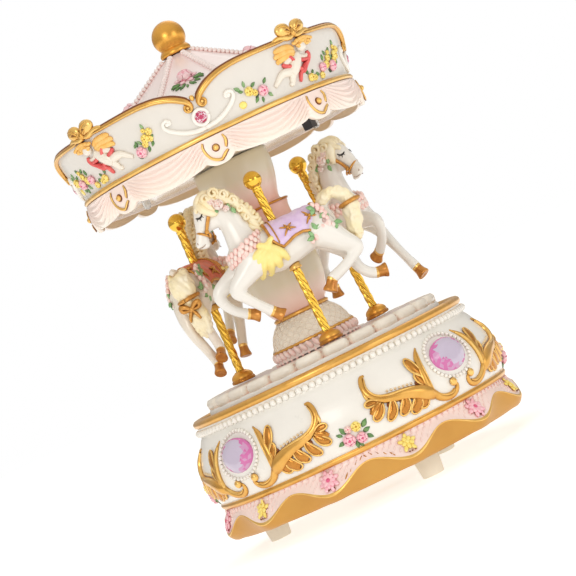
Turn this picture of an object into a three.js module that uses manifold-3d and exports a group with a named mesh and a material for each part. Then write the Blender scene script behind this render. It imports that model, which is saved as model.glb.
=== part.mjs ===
// Carousel music box: a wind-up movement in a round resin base turns a three-horse carousel.
// Millimetres and degrees. The origin is on the turning axis at the level of the feet's
// undersides, +Z is up and the front is -Y. An azimuth is counted from the front towards +X.
import * as THREE from 'three';
import { ConvexGeometry } from 'three/addons/geometries/ConvexGeometry.js';
import { mergeVertices } from 'three/addons/utils/BufferGeometryUtils.js';
import Module from 'manifold-3d';

const wasm = await Module();
wasm.setup();

// Driving dimensions
const GAP = 0.3; // between neighbouring pieces
const TOTAL_HEIGHT = 190;
const PATTERN_YAW = -2; // azimuth of the front bouquet, medallion and canopy gem
const SKIRT_BOTTOM = 7.6;
const SKIRT_WAVES = 12;
const CASING_INNER_RADIUS = 53.5;
const CEILING_BOTTOM = 45.5;
const CEILING_TOP = 48.5;
const RIM_TOP = 52.7;
const RIM_INNER_RADIUS = 51;
const COVER_BOTTOM = 8.8;
const COVER_TOP = 11.2;
const FOOT_RADIUS_TOP = 5;
const FOOT_RADIUS_BOTTOM = 4.1;
const FOOT_ORBIT = 43.2;
const FOOT_AZIMUTHS = [23, 143, -97];
const POST_ORBIT = 47;
const POST_AZIMUTHS = [53, 173, -67];
const POST_RADIUS = 3.6;
const BASE_GEM_HALF_WIDTH = 8.5;
const BASE_GEM_HALF_HEIGHT = 6.4;
const BASE_GEM_HEIGHT = 36.2;
const BASE_GEM_ORBIT = 58.2;
const BASE_GEM_TILT = 6;
const BASE_GEM_AZIMUTHS = [45, 135, -135, -45];
const DECK_RADIUS = 46.5;
const DECK_BOTTOM = 50;
const TILE_BOTTOM = 54;
const DECK_TOP = 57.3;
const TILE_COUNT = 26;
const TILE_ORBIT = 40.4;
const TILE_RADIUS = 4.9;
const COLUMN_BORE = 2;
const COLUMN_TOP = 133;
const POLE_ORBIT = 32.5;
const POLE_LEAN = 3;
const POLE_RADIUS = 1.5;
const POLE_HOLE_RADIUS = 1.85;
const POLE_AZIMUTHS = [9.1, 129.1, -110.9];
const POLE_TOP = 120.5;
const POLE_BALL_RADIUS = 3.15;
const POLE_BALL_HEIGHT = 121.7;
const SOCKET_RADIUS = 4.6;
const SOCKET_HEIGHT = 4;
const CANOPY_BOTTOM = 130;
const CANOPY_INNER_RADIUS = 50.8;
const CROWN_EDGE_HEIGHT = 160.3;
const CROWN_EDGE_DIP = 4.3;
const SKIRT_LOBES = 16;
const ROOF_TOP = 176.5;
const CANOPY_GEM_RADIUS = 2.2;
const CANOPY_GEM_ORBIT = 55;
const CANOPY_GEM_HEIGHT = 147.9;
const CANOPY_FLOOR_BOTTOM = 133.3;
const CANOPY_FLOOR_TOP = 135.5;
const CANOPY_FLOOR_RADIUS = 50.2;
const FINIAL_BALL_RADIUS = 6.3;
const LED_PLACES = [[35, -73.5], [35, 79.5], [35, 180]];
const LED_RADIUS = 1.5;
const LED_TIP = 129.5;
const SWITCH_AZIMUTH = 63;
const SWITCH_ORBIT = 36;
const SWITCH_TRAVEL = 2;
const KNOB_LENGTH = 4.3;
const KNOB_WIDTH = 3.6;
const KNOB_BOTTOM = 129.8;
const KEY_BOTTOM = 3.6;
const ARBOR_RADIUS = 2;
const CROWN_GEAR_TEETH = 30;
const PINION_TEETH = 10;
const CROWN_GEAR_RADIUS = 12.5;
const PINION_RADIUS = CROWN_GEAR_RADIUS * PINION_TEETH / CROWN_GEAR_TEETH;
const GEAR_PITCH_HEIGHT = 20.2; // where the crown gear's teeth meet the pinion's
const CYLINDER_HEIGHT = GEAR_PITCH_HEIGHT + PINION_RADIUS;
const CYLINDER_RADIUS = 6.5;
const CYLINDER_START = 16;
const CYLINDER_END = 33;
const NOTE_COUNT = 18;
const END_WHEEL_TEETH = 24;
const END_WHEEL_RADIUS = 7.5;
const END_WHEEL_X = 35;
const WORM_RADIUS = 1.6;
const WORM_Y = END_WHEEL_RADIUS + 0.6 + GAP + WORM_RADIUS;

const RADIANS = Math.PI / 180;

// Colours and finishes
const finish = (color, roughness, metalness = 0) =>
  new THREE.MeshStandardMaterial({ color, roughness, metalness });
const WHITE_RESIN = finish('#f3efe8', 0.35);
const PINK_RESIN = finish('#f6dfdc', 0.35);
const CREAM_RESIN = finish('#e9ddcf', 0.4);
const GOLD_PAINT = finish('#b98533', 0.4, 0.7);
const BRIGHT_BRASS = finish('#d9a63a', 0.2, 1);
const PURPLE_GEM = finish('#c79bdc', 0.05);
const PINK_GEM = finish('#d86a93', 0.05);
const CLEAR_PLASTIC = finish('#eef2f4', 0.1);
const BLACK_PLASTIC = finish('#1b1b1d', 0.5);
const CREAM_RUBBER = finish('#e6dfd5', 0.7);
const ZINC = finish('#a9acae', 0.45, 0.9);
const STEEL = finish('#c9ccd0', 0.3, 1);

// Geometry helpers
const polar = (radius, azimuth) =>
  [radius * Math.sin(azimuth * RADIANS), -radius * Math.cos(azimuth * RADIANS)];

const azimuthOf = (x, y) => Math.atan2(x, -y) / RADIANS;

function weld(geometry) {
  const plain = geometry.clone();
  plain.deleteAttribute('normal');
  plain.deleteAttribute('uv');
  const merged = mergeVertices(plain, 1e-4);
  const kept = [];
  const index = merged.index.array;
  for (let i = 0; i < index.length; i += 3) {
    const [a, b, c] = [index[i], index[i + 1], index[i + 2]];
    if (a !== b && b !== c && c !== a) kept.push(a, b, c);
  }
  merged.setIndex(kept);
  return merged;
}

function toSolid(geometry) {
  const welded = weld(geometry);
  return new wasm.Manifold(new wasm.Mesh({
    numProp: 3,
    vertProperties: Float32Array.from(welded.attributes.position.array),
    triVerts: Uint32Array.from(welded.index.array),
  }));
}

function toGeometry(solid) {
  const mesh = solid.getMesh();
  const geometry = new THREE.BufferGeometry();
  geometry.setAttribute('position', new THREE.BufferAttribute(mesh.vertProperties, 3));
  geometry.setIndex(new THREE.BufferAttribute(mesh.triVerts, 1));
  return geometry;
}

const join = (...geometries) =>
  toGeometry(geometries.map(toSolid).reduce((whole, part) => whole.add(part)));

const cut = (geometry, ...tools) =>
  toGeometry(tools.map(toSolid).reduce((whole, tool) => whole.subtract(tool), toSolid(geometry)));

// A profile of [radius, height] points turned about +Z. It runs upwards along the outside.
function lathe(profile, segments) {
  const points = profile.map(([radius, height]) => new THREE.Vector2(radius, height));
  return weld(new THREE.LatheGeometry(points, segments).rotateX(Math.PI / 2));
}

// A ring or disc between two heights, with a bore when innerRadius isn't 0
function disc(outerRadius, innerRadius, bottom, top, segments = 24) {
  const inside = innerRadius > 0 ? innerRadius : 0;
  const profile = [[inside, bottom], [outerRadius, bottom], [outerRadius, top], [inside, top]];
  if (inside > 0) profile.push([inside, bottom]);
  return lathe(profile, segments);
}

const post = (x, y, radius, bottom, top, segments = 10) =>
  disc(radius, 0, bottom, top, segments).translate(x, y, 0);

const block = (x0, x1, y0, y1, z0, z1) =>
  weld(new THREE.BoxGeometry(x1 - x0, y1 - y0, z1 - z0)
    .translate((x0 + x1) / 2, (y0 + y1) / 2, (z0 + z1) / 2));

const ellipsoid = (halfX, halfY, halfZ, columns = 10, rows = 6) =>
  weld(new THREE.SphereGeometry(1, columns, rows).scale(halfX, halfY, halfZ));

// A flat outline in X and Y, raised from one height to another
function plate(outline, bottom, top) {
  const shape = new THREE.Shape(outline.map(([x, y]) => new THREE.Vector2(x, y)));
  return weld(new THREE.ExtrudeGeometry(shape, { depth: top - bottom, bevelEnabled: false })
    .translate(0, 0, bottom));
}

// Moves each vertex by a function of its radius, azimuth and height, which returns
// its new radius and height
function reshape(geometry, rule) {
  const position = geometry.attributes.position;
  for (let i = 0; i < position.count; i += 1) {
    const radius = Math.hypot(position.getX(i), position.getY(i));
    if (radius < 1) continue;
    const azimuth = azimuthOf(position.getX(i), position.getY(i));
    const [newRadius, height] = rule(radius, azimuth, position.getZ(i));
    const [x, y] = polar(newRadius, azimuth);
    position.setXYZ(i, x, y, height);
  }
  return geometry;
}

const carousel = new THREE.Group();

function addMesh(name, geometry, material, parent = carousel) {
  const mesh = new THREE.Mesh(geometry, material);
  mesh.name = name;
  parent.add(mesh);
  return mesh;
}

// Places a group at an azimuth: its +X runs along the circle, clockwise seen from above,
// and its +Y points outwards
function groupAt(azimuth, orbit, height, lean) {
  const turned = new THREE.Group();
  turned.rotation.z = (azimuth + 180) * RADIANS;
  const leaning = new THREE.Group();
  leaning.position.set(0, orbit, height);
  leaning.rotation.x = lean * RADIANS;
  turned.add(leaning);
  carousel.add(turned);
  return leaning;
}

// Base casing: an open-bottomed shell with a wavy skirt and a recess that the deck turns in
function casingShell() {
  const edgeRadius = 59.1;
  const edgeHeight = 12.85;
  const profile = [
    [CASING_INNER_RADIUS, SKIRT_BOTTOM], [57.3, SKIRT_BOTTOM], [edgeRadius, edgeHeight],
    [56.4, 19], [57.6, 20.3], [57.2, 22], [59, 30], [58.3, 36], [56.6, 40.3],
    [53.8, 45.5], [54.4, 47.6], [54, 51.2], [52.5, RIM_TOP],
    [RIM_INNER_RADIUS, 51.4], [RIM_INNER_RADIUS, CEILING_TOP], [6, CEILING_TOP],
    [6, CEILING_BOTTOM], [50.2, CEILING_BOTTOM], [54.6, 37], [55, 30], [CASING_INNER_RADIUS, 20],
    [CASING_INNER_RADIUS, SKIRT_BOTTOM],
  ];
  const waved = (radius, azimuth, height) => {
    if (Math.abs(height - edgeHeight) > 0.01) return [radius, height];
    const wave = Math.cos(SKIRT_WAVES * (azimuth - PATTERN_YAW) * RADIANS);
    return [radius - 1.1 * wave, height + 2.15 * wave];
  };
  return reshape(lathe(profile, 4 * SKIRT_WAVES), waved);
}

function ovalPrism(scale, inner, outer) {
  const steps = 20;
  const outline = [];
  for (let i = 0; i < steps; i += 1) {
    const angle = 2 * Math.PI * i / steps;
    outline.push([
      (BASE_GEM_HALF_WIDTH + scale) * Math.cos(angle),
      (BASE_GEM_HALF_HEIGHT + scale) * Math.sin(angle),
    ]);
  }
  return plate(outline, inner, outer);
}

// Turns a piece whose front faces +Z so that it faces outwards at an azimuth
function faceOut(geometry, azimuth, orbit, height, tilt) {
  const [x, y] = polar(orbit, azimuth);
  return geometry
    .rotateX((90 - tilt) * RADIANS)
    .rotateZ(azimuth * RADIANS)
    .translate(x, y, height);
}

function buildCasing() {
  const posts = POST_AZIMUTHS.map((azimuth) => {
    const [x, y] = polar(POST_ORBIT, azimuth);
    return post(x, y, POST_RADIUS, COVER_TOP + GAP, CEILING_BOTTOM + 1, 8);
  });
  const holes = POST_AZIMUTHS.map((azimuth) => {
    const [x, y] = polar(POST_ORBIT, azimuth);
    return post(x, y, 1.5, COVER_TOP, 20);
  });
  const pockets = BASE_GEM_AZIMUTHS.map((azimuth) => faceOut(
    ovalPrism(0.35, -1.2, 6), azimuth + PATTERN_YAW, BASE_GEM_ORBIT, BASE_GEM_HEIGHT,
    BASE_GEM_TILT));
  addMesh('base_casing', cut(join(casingShell(), ...posts), ...holes, ...pockets), WHITE_RESIN);
}

// A cut gem: a flat table, a sloping ring of facets and a thin back
function ovalGem() {
  const rings = [[0.62, 2.2], [0.9, 1.2], [1, 0.1], [0.9, -0.8]];
  const facets = 16;
  const points = [];
  rings.forEach(([share, level], ring) => {
    for (let i = 0; i < facets; i += 1) {
      const angle = 2 * Math.PI * (i + 0.5 * (ring % 2)) / facets;
      points.push(new THREE.Vector3(
        BASE_GEM_HALF_WIDTH * share * Math.cos(angle),
        BASE_GEM_HALF_HEIGHT * share * Math.sin(angle),
        level));
    }
  });
  return weld(new ConvexGeometry(points));
}

function buildBaseGems() {
  BASE_GEM_AZIMUTHS.forEach((azimuth, i) => addMesh(
    `base_gem_${i + 1}`,
    faceOut(ovalGem(), azimuth + PATTERN_YAW, BASE_GEM_ORBIT, BASE_GEM_HEIGHT, BASE_GEM_TILT),
    PURPLE_GEM));
}

const MOVEMENT_SCREW_PLACES = [[-9, -17], [-9, 17], [36, 16.5]];
const COMB_SCREW_PLACES = [[20, -18.5], [29, -18.5]];

function buildBottom() {
  const screwHoles = [
    ...POST_AZIMUTHS.map((azimuth) => polar(POST_ORBIT, azimuth)), ...MOVEMENT_SCREW_PLACES,
  ].map(([x, y]) => post(x, y, 1.6, COVER_BOTTOM - 1, COVER_TOP + 1));
  const cover = disc(CASING_INNER_RADIUS - 0.5, 4.5, COVER_BOTTOM, COVER_TOP, 32);
  addMesh('bottom_cover', cut(cover, ...screwHoles), CREAM_RESIN);
  FOOT_AZIMUTHS.forEach((azimuth, i) => {
    const foot = lathe([
      [0, 0], [FOOT_RADIUS_BOTTOM - 0.4, 0], [FOOT_RADIUS_BOTTOM, 0.4],
      [FOOT_RADIUS_TOP, COVER_BOTTOM - GAP], [0, COVER_BOTTOM - GAP],
    ], 20);
    const mesh = addMesh(`foot_${i + 1}`, foot, CREAM_RUBBER);
    mesh.position.set(...polar(FOOT_ORBIT, azimuth), 0);
  });
}

// A pan-head screw that points up, with its head's underside against a surface
function screwUp(shankRadius, headRadius, surface, top) {
  return lathe([
    [0, surface - GAP - 1.4], [headRadius - 0.4, surface - GAP - 1.4],
    [headRadius, surface - GAP - 0.9], [headRadius, surface - GAP],
    [shankRadius, surface - GAP], [shankRadius, top], [0, top],
  ], 12);
}

function buildScrews() {
  POST_AZIMUTHS.forEach((azimuth, i) => {
    const mesh = addMesh(`cover_screw_${i + 1}`, screwUp(1.2, 2.5, COVER_BOTTOM, 19), STEEL);
    mesh.position.set(...polar(POST_ORBIT, azimuth), 0);
  });
  MOVEMENT_SCREW_PLACES.forEach(([x, y], i) => {
    const mesh = addMesh(`movement_screw_${i + 1}`, screwUp(1.2, 2.4, COVER_BOTTOM, 13.8), STEEL);
    mesh.position.set(x, y, 0);
  });
}

// Movement: a bedplate on the bottom cover carries the barrel, cylinder, comb and governor
const BEDPLATE_BOTTOM = COVER_TOP + 0.4;
const BEDPLATE_TOP = 14.4;
const COMB_BOTTOM = 23.8;
const COMB_TOP = 25;

function buildBedplate() {
  const [left, right, half, corner] = [-14, 40, 21, 3];
  const outline = [
    [left + corner, -half], [right - corner, -half], [right, -half + corner],
    [right, half - corner], [right - corner, half], [left + corner, half],
    [left, half - corner], [left, -half + corner],
  ];
  const combBlock = block(15.5, 33.5, -21, -15.5, BEDPLATE_TOP - 1, COMB_BOTTOM - GAP);
  const holes = [
    post(0, 0, 2.6, 10, 16),
    ...MOVEMENT_SCREW_PLACES.map(([x, y]) => post(x, y, 1.5, 10, 14)),
    ...COMB_SCREW_PLACES.map(([x, y]) => post(x, y, 0.9, 18, 26, 8)),
  ];
  const bed = join(plate(outline, BEDPLATE_BOTTOM, BEDPLATE_TOP), combBlock);
  addMesh('movement_bedplate', cut(bed, ...holes), ZINC);
}

function buildComb() {
  const [left, right] = [CYLINDER_START, CYLINDER_END];
  const pitch = (right - left) / NOTE_COUNT;
  const slot = 0.26;
  const tip = -(CYLINDER_RADIUS + 0.9);
  const outline = [[left, -21], [right, -21]];
  for (let note = NOTE_COUNT - 1; note >= 0; note -= 1) {
    const root = -12.5 - 2.5 * (note / NOTE_COUNT);
    const start = left + note * pitch + slot / 2;
    const end = start + pitch - slot;
    outline.push([end, root], [end, tip], [start, tip], [start, root]);
  }
  const holes = COMB_SCREW_PLACES.map(([x, y]) => post(x, y, 1, 20, 30, 8));
  addMesh('comb', cut(plate(outline, COMB_BOTTOM, COMB_TOP), ...holes), STEEL);
  COMB_SCREW_PLACES.forEach(([x, y], i) => {
    const screw = lathe([
      [0, 19], [0.7, 19], [0.7, COMB_TOP + GAP], [1.7, COMB_TOP + GAP], [1.7, COMB_TOP + 1.4],
      [0, COMB_TOP + 1.4],
    ], 10);
    addMesh(`comb_screw_${i + 1}`, screw.translate(x, y, 0), STEEL);
  });
}

// One tooth as a short wedge: wide at its root, narrow at its tip, along +Z
function tooth(rootWidth, tipWidth, length, depth) {
  const points = [];
  for (const across of [-length / 2, length / 2]) {
    for (const side of [-0.5, 0.5]) {
      points.push(new THREE.Vector3(across, side * rootWidth, 0));
      points.push(new THREE.Vector3(across, side * tipWidth, depth));
    }
  }
  return new ConvexGeometry(points);
}

function buildBarrel() {
  const teeth = [];
  for (let i = 0; i < CROWN_GEAR_TEETH; i += 1) {
    const angle = 2 * Math.PI * (i + 0.5) / CROWN_GEAR_TEETH;
    teeth.push(tooth(1, 0.45, 2.4, 1.7)
      .translate(CROWN_GEAR_RADIUS, 0, GEAR_PITCH_HEIGHT - 1.2)
      .rotateZ(angle));
  }
  const drum = lathe([
    [2.4, 17], [14, 17], [14, 19.2], [10.6, 19.2], [10.6, 32.5], [10, 33], [0, 33], [0, 31],
    [2.4, 31], [2.4, 17],
  ], 36);
  addMesh('spring_barrel', join(drum, ...teeth), BRIGHT_BRASS);
}

// Teeth round a wheel that turns about X
function wheelX(teethCount, rootRadius, tipRadius, rootWidth, tipWidth, width) {
  const wheel = disc(rootRadius + 0.1, 0, -width / 2, width / 2, teethCount).rotateY(Math.PI / 2);
  const teeth = [];
  for (let i = 0; i < teethCount; i += 1) {
    teeth.push(tooth(rootWidth, tipWidth, width, tipRadius - rootRadius + 0.1)
      .translate(0, 0, rootRadius - 0.1)
      .rotateX(Math.PI + 2 * Math.PI * i / teethCount));
  }
  return { wheel, teeth };
}

function buildCylinder() {
  const arbor = disc(1, 0, 10.9, 39.5, 10).rotateY(Math.PI / 2);
  const drum = disc(CYLINDER_RADIUS, 0, CYLINDER_START, CYLINDER_END, 20).rotateY(Math.PI / 2);
  const pitch = (CYLINDER_END - CYLINDER_START) / NOTE_COUNT;
  const pins = [];
  for (let note = 0; note < NOTE_COUNT; note += 1) {
    pins.push(block(-0.2, 0.2, -0.2, 0.2, CYLINDER_RADIUS - 0.5, CYLINDER_RADIUS + 0.5)
      .translate(CYLINDER_START + (note + 0.5) * pitch, 0, 0)
      .rotateX(2 * Math.PI * 0.382 * note));
  }
  const pinion = wheelX(PINION_TEETH, PINION_RADIUS - 0.9, PINION_RADIUS + 0.45, 1, 0.45, 1.8);
  const toPinion = (piece) => piece.translate(12.5, 0, 0);
  const end = wheelX(
    END_WHEEL_TEETH, END_WHEEL_RADIUS - 0.5, END_WHEEL_RADIUS + 0.5, 0.7, 0.35, 1.6);
  const toEnd = (piece) => piece.translate(END_WHEEL_X, 0, 0);
  const whole = join(
    arbor, drum, ...pins,
    toPinion(pinion.wheel), ...pinion.teeth.map(toPinion),
    toEnd(end.wheel), ...end.teeth.map(toEnd));
  addMesh('pin_cylinder', whole.translate(0, 0, CYLINDER_HEIGHT), BRIGHT_BRASS);
}

// Upright brackets that hold the cylinder's arbor at both ends
function buildCylinderBrackets() {
  const bracket = (x0, x1) => cut(
    block(x0, x1, -3, 3, BEDPLATE_TOP + GAP, CYLINDER_HEIGHT + 3),
    disc(1.3, 0, x0 - 1, x1 + 1, 12).rotateY(Math.PI / 2).translate(0, 0, CYLINDER_HEIGHT));
  addMesh('cylinder_bracket_inner', bracket(14.2, 15.4), ZINC);
  addMesh('cylinder_bracket_outer', bracket(37.4, 38.8), ZINC);
}

const FAN_BOTTOM = 31.8;
const FAN_TOP = 35.4;

// The governor's shaft carries a two-start worm and a flat two-bladed fan
function buildGovernor() {
  const [steps, sides, starts, bottom, top] = [14, 10, 2, 21, 28];
  const lead = starts * 2 * Math.PI * END_WHEEL_RADIUS / END_WHEEL_TEETH;
  const profile = [[0, bottom]];
  for (let i = 0; i <= steps; i += 1) {
    profile.push([WORM_RADIUS, bottom + (top - bottom) * i / steps]);
  }
  profile.push([0, top]);
  const threaded = reshape(lathe(profile, sides), (radius, azimuth, height) => {
    const phase = starts * (azimuth * RADIANS - 2 * Math.PI * (height - bottom) / lead);
    return [WORM_RADIUS - 0.25 + 0.25 * Math.cos(phase), height];
  });
  const shaft = disc(0.6, 0, 15, 37.2, 10);
  const fan = block(-4.4, 4.4, -0.35, 0.35, FAN_BOTTOM, FAN_TOP);
  const whole = join(threaded, shaft, fan).translate(END_WHEEL_X, WORM_Y, 0);
  addMesh('governor_fan', whole, STEEL);
  const frameOutline = [
    [WORM_Y - 2, BEDPLATE_TOP + GAP], [18.5, BEDPLATE_TOP + GAP], [18.5, 38], [WORM_Y - 2, 38],
    [WORM_Y - 2, 36.4], [16.8, 36.4], [16.8, 16.6], [WORM_Y - 2, 16.6],
  ];
  const frame = plate(frameOutline, -2.2, 2.2)
    .rotateX(Math.PI / 2).rotateZ(Math.PI / 2).translate(END_WHEEL_X, 0, 0);
  const bore = post(END_WHEEL_X, WORM_Y, 0.95, 10, 40, 10);
  const screwHole = post(36, 16.5, 0.5, 10, 12, 8);
  addMesh('governor_frame', cut(frame, bore, screwHole), ZINC);
}

// Winding key under the bottom cover, on the arbor that winds the spring
function buildWindingKey() {
  const wing = (side) => ellipsoid(7, 1.1, 2.3, 10, 5).translate(side * 6.4, 0, KEY_BOTTOM + 2.3);
  const hub = disc(3.5, 0, KEY_BOTTOM, 10.6, 16);
  const socket = post(0, 0, ARBOR_RADIUS + GAP, KEY_BOTTOM + 1.6, 12);
  addMesh('winding_key', cut(join(hub, wing(-1), wing(1)), socket), BRIGHT_BRASS);
  addMesh('winding_arbor', disc(ARBOR_RADIUS, 0, KEY_BOTTOM + 1.9, 30.6, 16), STEEL);
}

function buildSpindle() {
  addMesh('spindle_bush', disc(5.6, 2.9, CEILING_BOTTOM - 1, CEILING_TOP + 0.6, 20), BRIGHT_BRASS);
  addMesh('spindle', disc(2.5, 0, 33.3, 53.6, 16), STEEL);
}

// Deck: a disc with a raised bed of round tiles along its edge
function buildDeck() {
  const outline = [];
  const stepsPerTile = 4;
  for (let i = 0; i < TILE_COUNT * stepsPerTile; i += 1) {
    const tile = Math.floor(i / stepsPerTile);
    const across = (i % stepsPerTile) / (stepsPerTile - 1) * 2 - 1;
    const centre = 360 * (tile + 0.5) / TILE_COUNT;
    const [cx, cy] = polar(TILE_ORBIT, centre);
    const [dx, dy] = polar(TILE_RADIUS, centre + 68 * across);
    outline.push([cx + dx, cy + dy]);
  }
  const body = join(
    disc(DECK_RADIUS, 0, DECK_BOTTOM, TILE_BOTTOM, 52),
    plate(outline, TILE_BOTTOM - 0.5, DECK_TOP));
  const deck = cut(body, post(0, 0, 2.8, 48, 54), post(0, 0, 1.9, 50, 60));
  addMesh('deck', deck, CREAM_RESIN);
}

function buildColumn() {
  const profile = [
    [COLUMN_BORE, DECK_TOP + GAP], [16.8, DECK_TOP + GAP], [16.9, 61.3], [16.1, 62.6],
    [14.9, 63.8], [13.2, 67.9], [10.5, 70.8], [10.4, 73], [11.6, 75.2], [13.6, 81], [14.7, 87],
    [14.4, 92], [12.7, 98], [13.2, 105], [12.7, 108.5], [13.9, 111.7], [10.9, 113.2],
    [13.4, 121.4], [14.6, 128], [14.6, COLUMN_TOP], [COLUMN_BORE, COLUMN_TOP],
    [COLUMN_BORE, DECK_TOP + GAP],
  ];
  addMesh('column', lathe(profile, 24), PINK_RESIN);
  addMesh('tie_rod', disc(1.5, 0, 54.3, 138.8, 10), STEEL);
  const nut = disc(3.4, 1.8, CANOPY_FLOOR_TOP + GAP, 138.2, 6);
  addMesh('tie_rod_nut', nut, STEEL);
}

// Horses. A piece of the body is a rounded bar between two balls, [forward, outward, height,
// radius], measured from the pole on the deck's top.
function bar([u0, v0, z0, r0], [u1, v1, z1, r1], flatness = 1) {
  const points = [];
  const ball = new THREE.IcosahedronGeometry(1, r0 > 6 ? 1 : 0).attributes.position;
  for (const [u, v, z, r] of [[u0, v0, z0, r0], [u1, v1, z1, r1]]) {
    for (let i = 0; i < ball.count; i += 1) {
      points.push(new THREE.Vector3(
        u + r * ball.getX(i), v + flatness * r * ball.getY(i), z + r * ball.getZ(i)));
    }
  }
  return new ConvexGeometry(points);
}

const chain = (balls, flatness) =>
  balls.slice(1).map((ball, i) => bar(balls[i], ball, flatness));

const TRUNK = [[13.5, 0, 40.4, 6.4], [3, 0, 38.6, 8.3], [-6, 0, 39.6, 7.6], [-14, 0, 39.8, 6.9]];
const NECK = [[12.5, 0, 44.5, 6.2], [12.2, 0, 55, 5.2], [16.5, 0, 62, 4.6]];
const HEAD = [[18.6, 0, 61.6, 4.6], [26, 0, 52.3, 2.4]];
const MANE = [[8, 0, 51, 2.6], [9, 0, 60, 3], [15, 0, 65.4, 2.8]];

const LEGS_FRONT = [
  [[-14, 3, 37, 5], [-20.5, 3.2, 27.6, 2.2], [-10.3, 3.2, 21, 1.6], [-7.9, 3.2, 18.6, 2]],
  [[-14, -3, 37, 5], [-18.9, -3.2, 22.6, 2], [-22.8, -3.2, 16.6, 1.6], [-27, -3.2, 15.4, 2]],
  [[14, 3, 38, 4], [23.6, 3.4, 31, 2], [20.1, 3.4, 24.4, 1.5], [14.2, 3.4, 17.2, 1.8]],
  [[14, -3, 39, 4], [28, -3.4, 33, 2], [27.2, -3.4, 27, 1.5], [21.5, -3.4, 21.6, 1.8]],
];
const LEGS_RIGHT = [
  LEGS_FRONT[0],
  LEGS_FRONT[1],
  [[14, 3, 38, 4], [19.4, 3.4, 29, 2], [25, 3.4, 17, 1.5], [29, 3.4, 8.2, 1.9]],
  LEGS_FRONT[3],
];
const LEGS_LEFT = [
  [[-14, 3, 37, 5], [-20, 3.2, 24, 2.2], [-17, 3.2, 13, 1.6], [-18.5, 3.2, 7.4, 2]],
  [[-14, -3, 37, 5], [-22, -3.2, 28, 2.2], [-20, -3.2, 18, 1.6], [-23, -3.2, 13, 2]],
  LEGS_FRONT[2],
  LEGS_FRONT[3],
];
const TAIL_RAISED = [
  [-16.5, 0, 44.6, 2.2], [-26, 0, 46, 2.4], [-27, 0, 37, 2.4], [-24.6, 0, 30.6, 1.2],
];
const TAIL_HANGING = [
  [-16.5, 0, 44.6, 2.2], [-25, 0, 42, 2.6], [-26, 0, 31, 2.4], [-24.6, 0, 22, 1.4],
];

function buildHorse(name, legs, tail, parent) {
  const pieces = [
    ...chain(TRUNK, 0.85), ...chain(NECK, 0.7), ...chain(HEAD, 0.75), ...chain(MANE, 0.9),
    ...chain(tail, 0.8), ...legs.flatMap((leg) => chain(leg, 0.85)),
  ];
  const hole = post(0, 0, POLE_HOLE_RADIUS, 5, 62, 12);
  addMesh(name, cut(join(...pieces), hole), WHITE_RESIN, parent);
}

function buildPoles() {
  const legs = [LEGS_FRONT, LEGS_RIGHT, LEGS_LEFT];
  const tails = [TAIL_RAISED, TAIL_RAISED, TAIL_HANGING];
  POLE_AZIMUTHS.forEach((azimuth, i) => {
    const group = groupAt(azimuth, POLE_ORBIT, DECK_TOP, POLE_LEAN);
    const number = i + 1;
    const ball = ellipsoid(POLE_BALL_RADIUS, POLE_BALL_RADIUS, POLE_BALL_RADIUS, 12, 7)
      .translate(0, 0, POLE_BALL_HEIGHT - DECK_TOP);
    const hole = post(0, 0, POLE_HOLE_RADIUS, 40, POLE_TOP - DECK_TOP + GAP, 12);
    const top = SOCKET_HEIGHT + 0.5;
    const socket = lathe([
      [POLE_HOLE_RADIUS, 0.6], [SOCKET_RADIUS, 0.6], [4.2, 2], [3.2, 3.4], [2.4, top],
      [POLE_HOLE_RADIUS, top], [POLE_HOLE_RADIUS, 0.6],
    ], 16);
    addMesh(`pole_${number}`, disc(POLE_RADIUS, 0, 0.7, POLE_TOP - DECK_TOP, 12),
      BRIGHT_BRASS, group);
    addMesh(`pole_ball_${number}`, cut(ball, hole), BRIGHT_BRASS, group);
    addMesh(`pole_socket_${number}`, socket, GOLD_PAINT, group);
    buildHorse(`horse_${number}`, legs[i], tails[i], group);
  });
}

// Canopy: a flared crown wall, a scalloped skirt below it and a cone roof inside it
function canopyShell() {
  const profile = [
    [0, 172.5], [46.5, 144], [CANOPY_INNER_RADIUS, 140], [CANOPY_INNER_RADIUS, CANOPY_BOTTOM],
    [54, CANOPY_BOTTOM], [54.6, 133], [54.3, 139.8], [53.2, 140.4], [53.8, 141.3],
    [53.1, 142.4], [57.3, 159.4], [56.4, CROWN_EDGE_HEIGHT], [54.8, CROWN_EDGE_HEIGHT - 0.6],
    [51, 149], [5.5, ROOF_TOP], [0, ROOF_TOP],
  ];
  const shaped = (radius, azimuth, height) => {
    const turned = (azimuth - PATTERN_YAW) * RADIANS;
    if (height < CANOPY_BOTTOM + 0.1) return [radius, height + 1 - Math.cos(SKIRT_LOBES * turned)];
    if (height < 159) return [radius, height];
    if (height > 161) return [radius, height];
    const fromBay = Math.abs(((azimuth - PATTERN_YAW + 405) % 90) - 45);
    const dip = fromBay < 15 ? Math.cos(Math.PI / 2 * fromBay / 15) ** 2 : 0;
    return [radius, height - CROWN_EDGE_DIP * dip];
  };
  return reshape(lathe(profile, 48), shaped);
}

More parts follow.
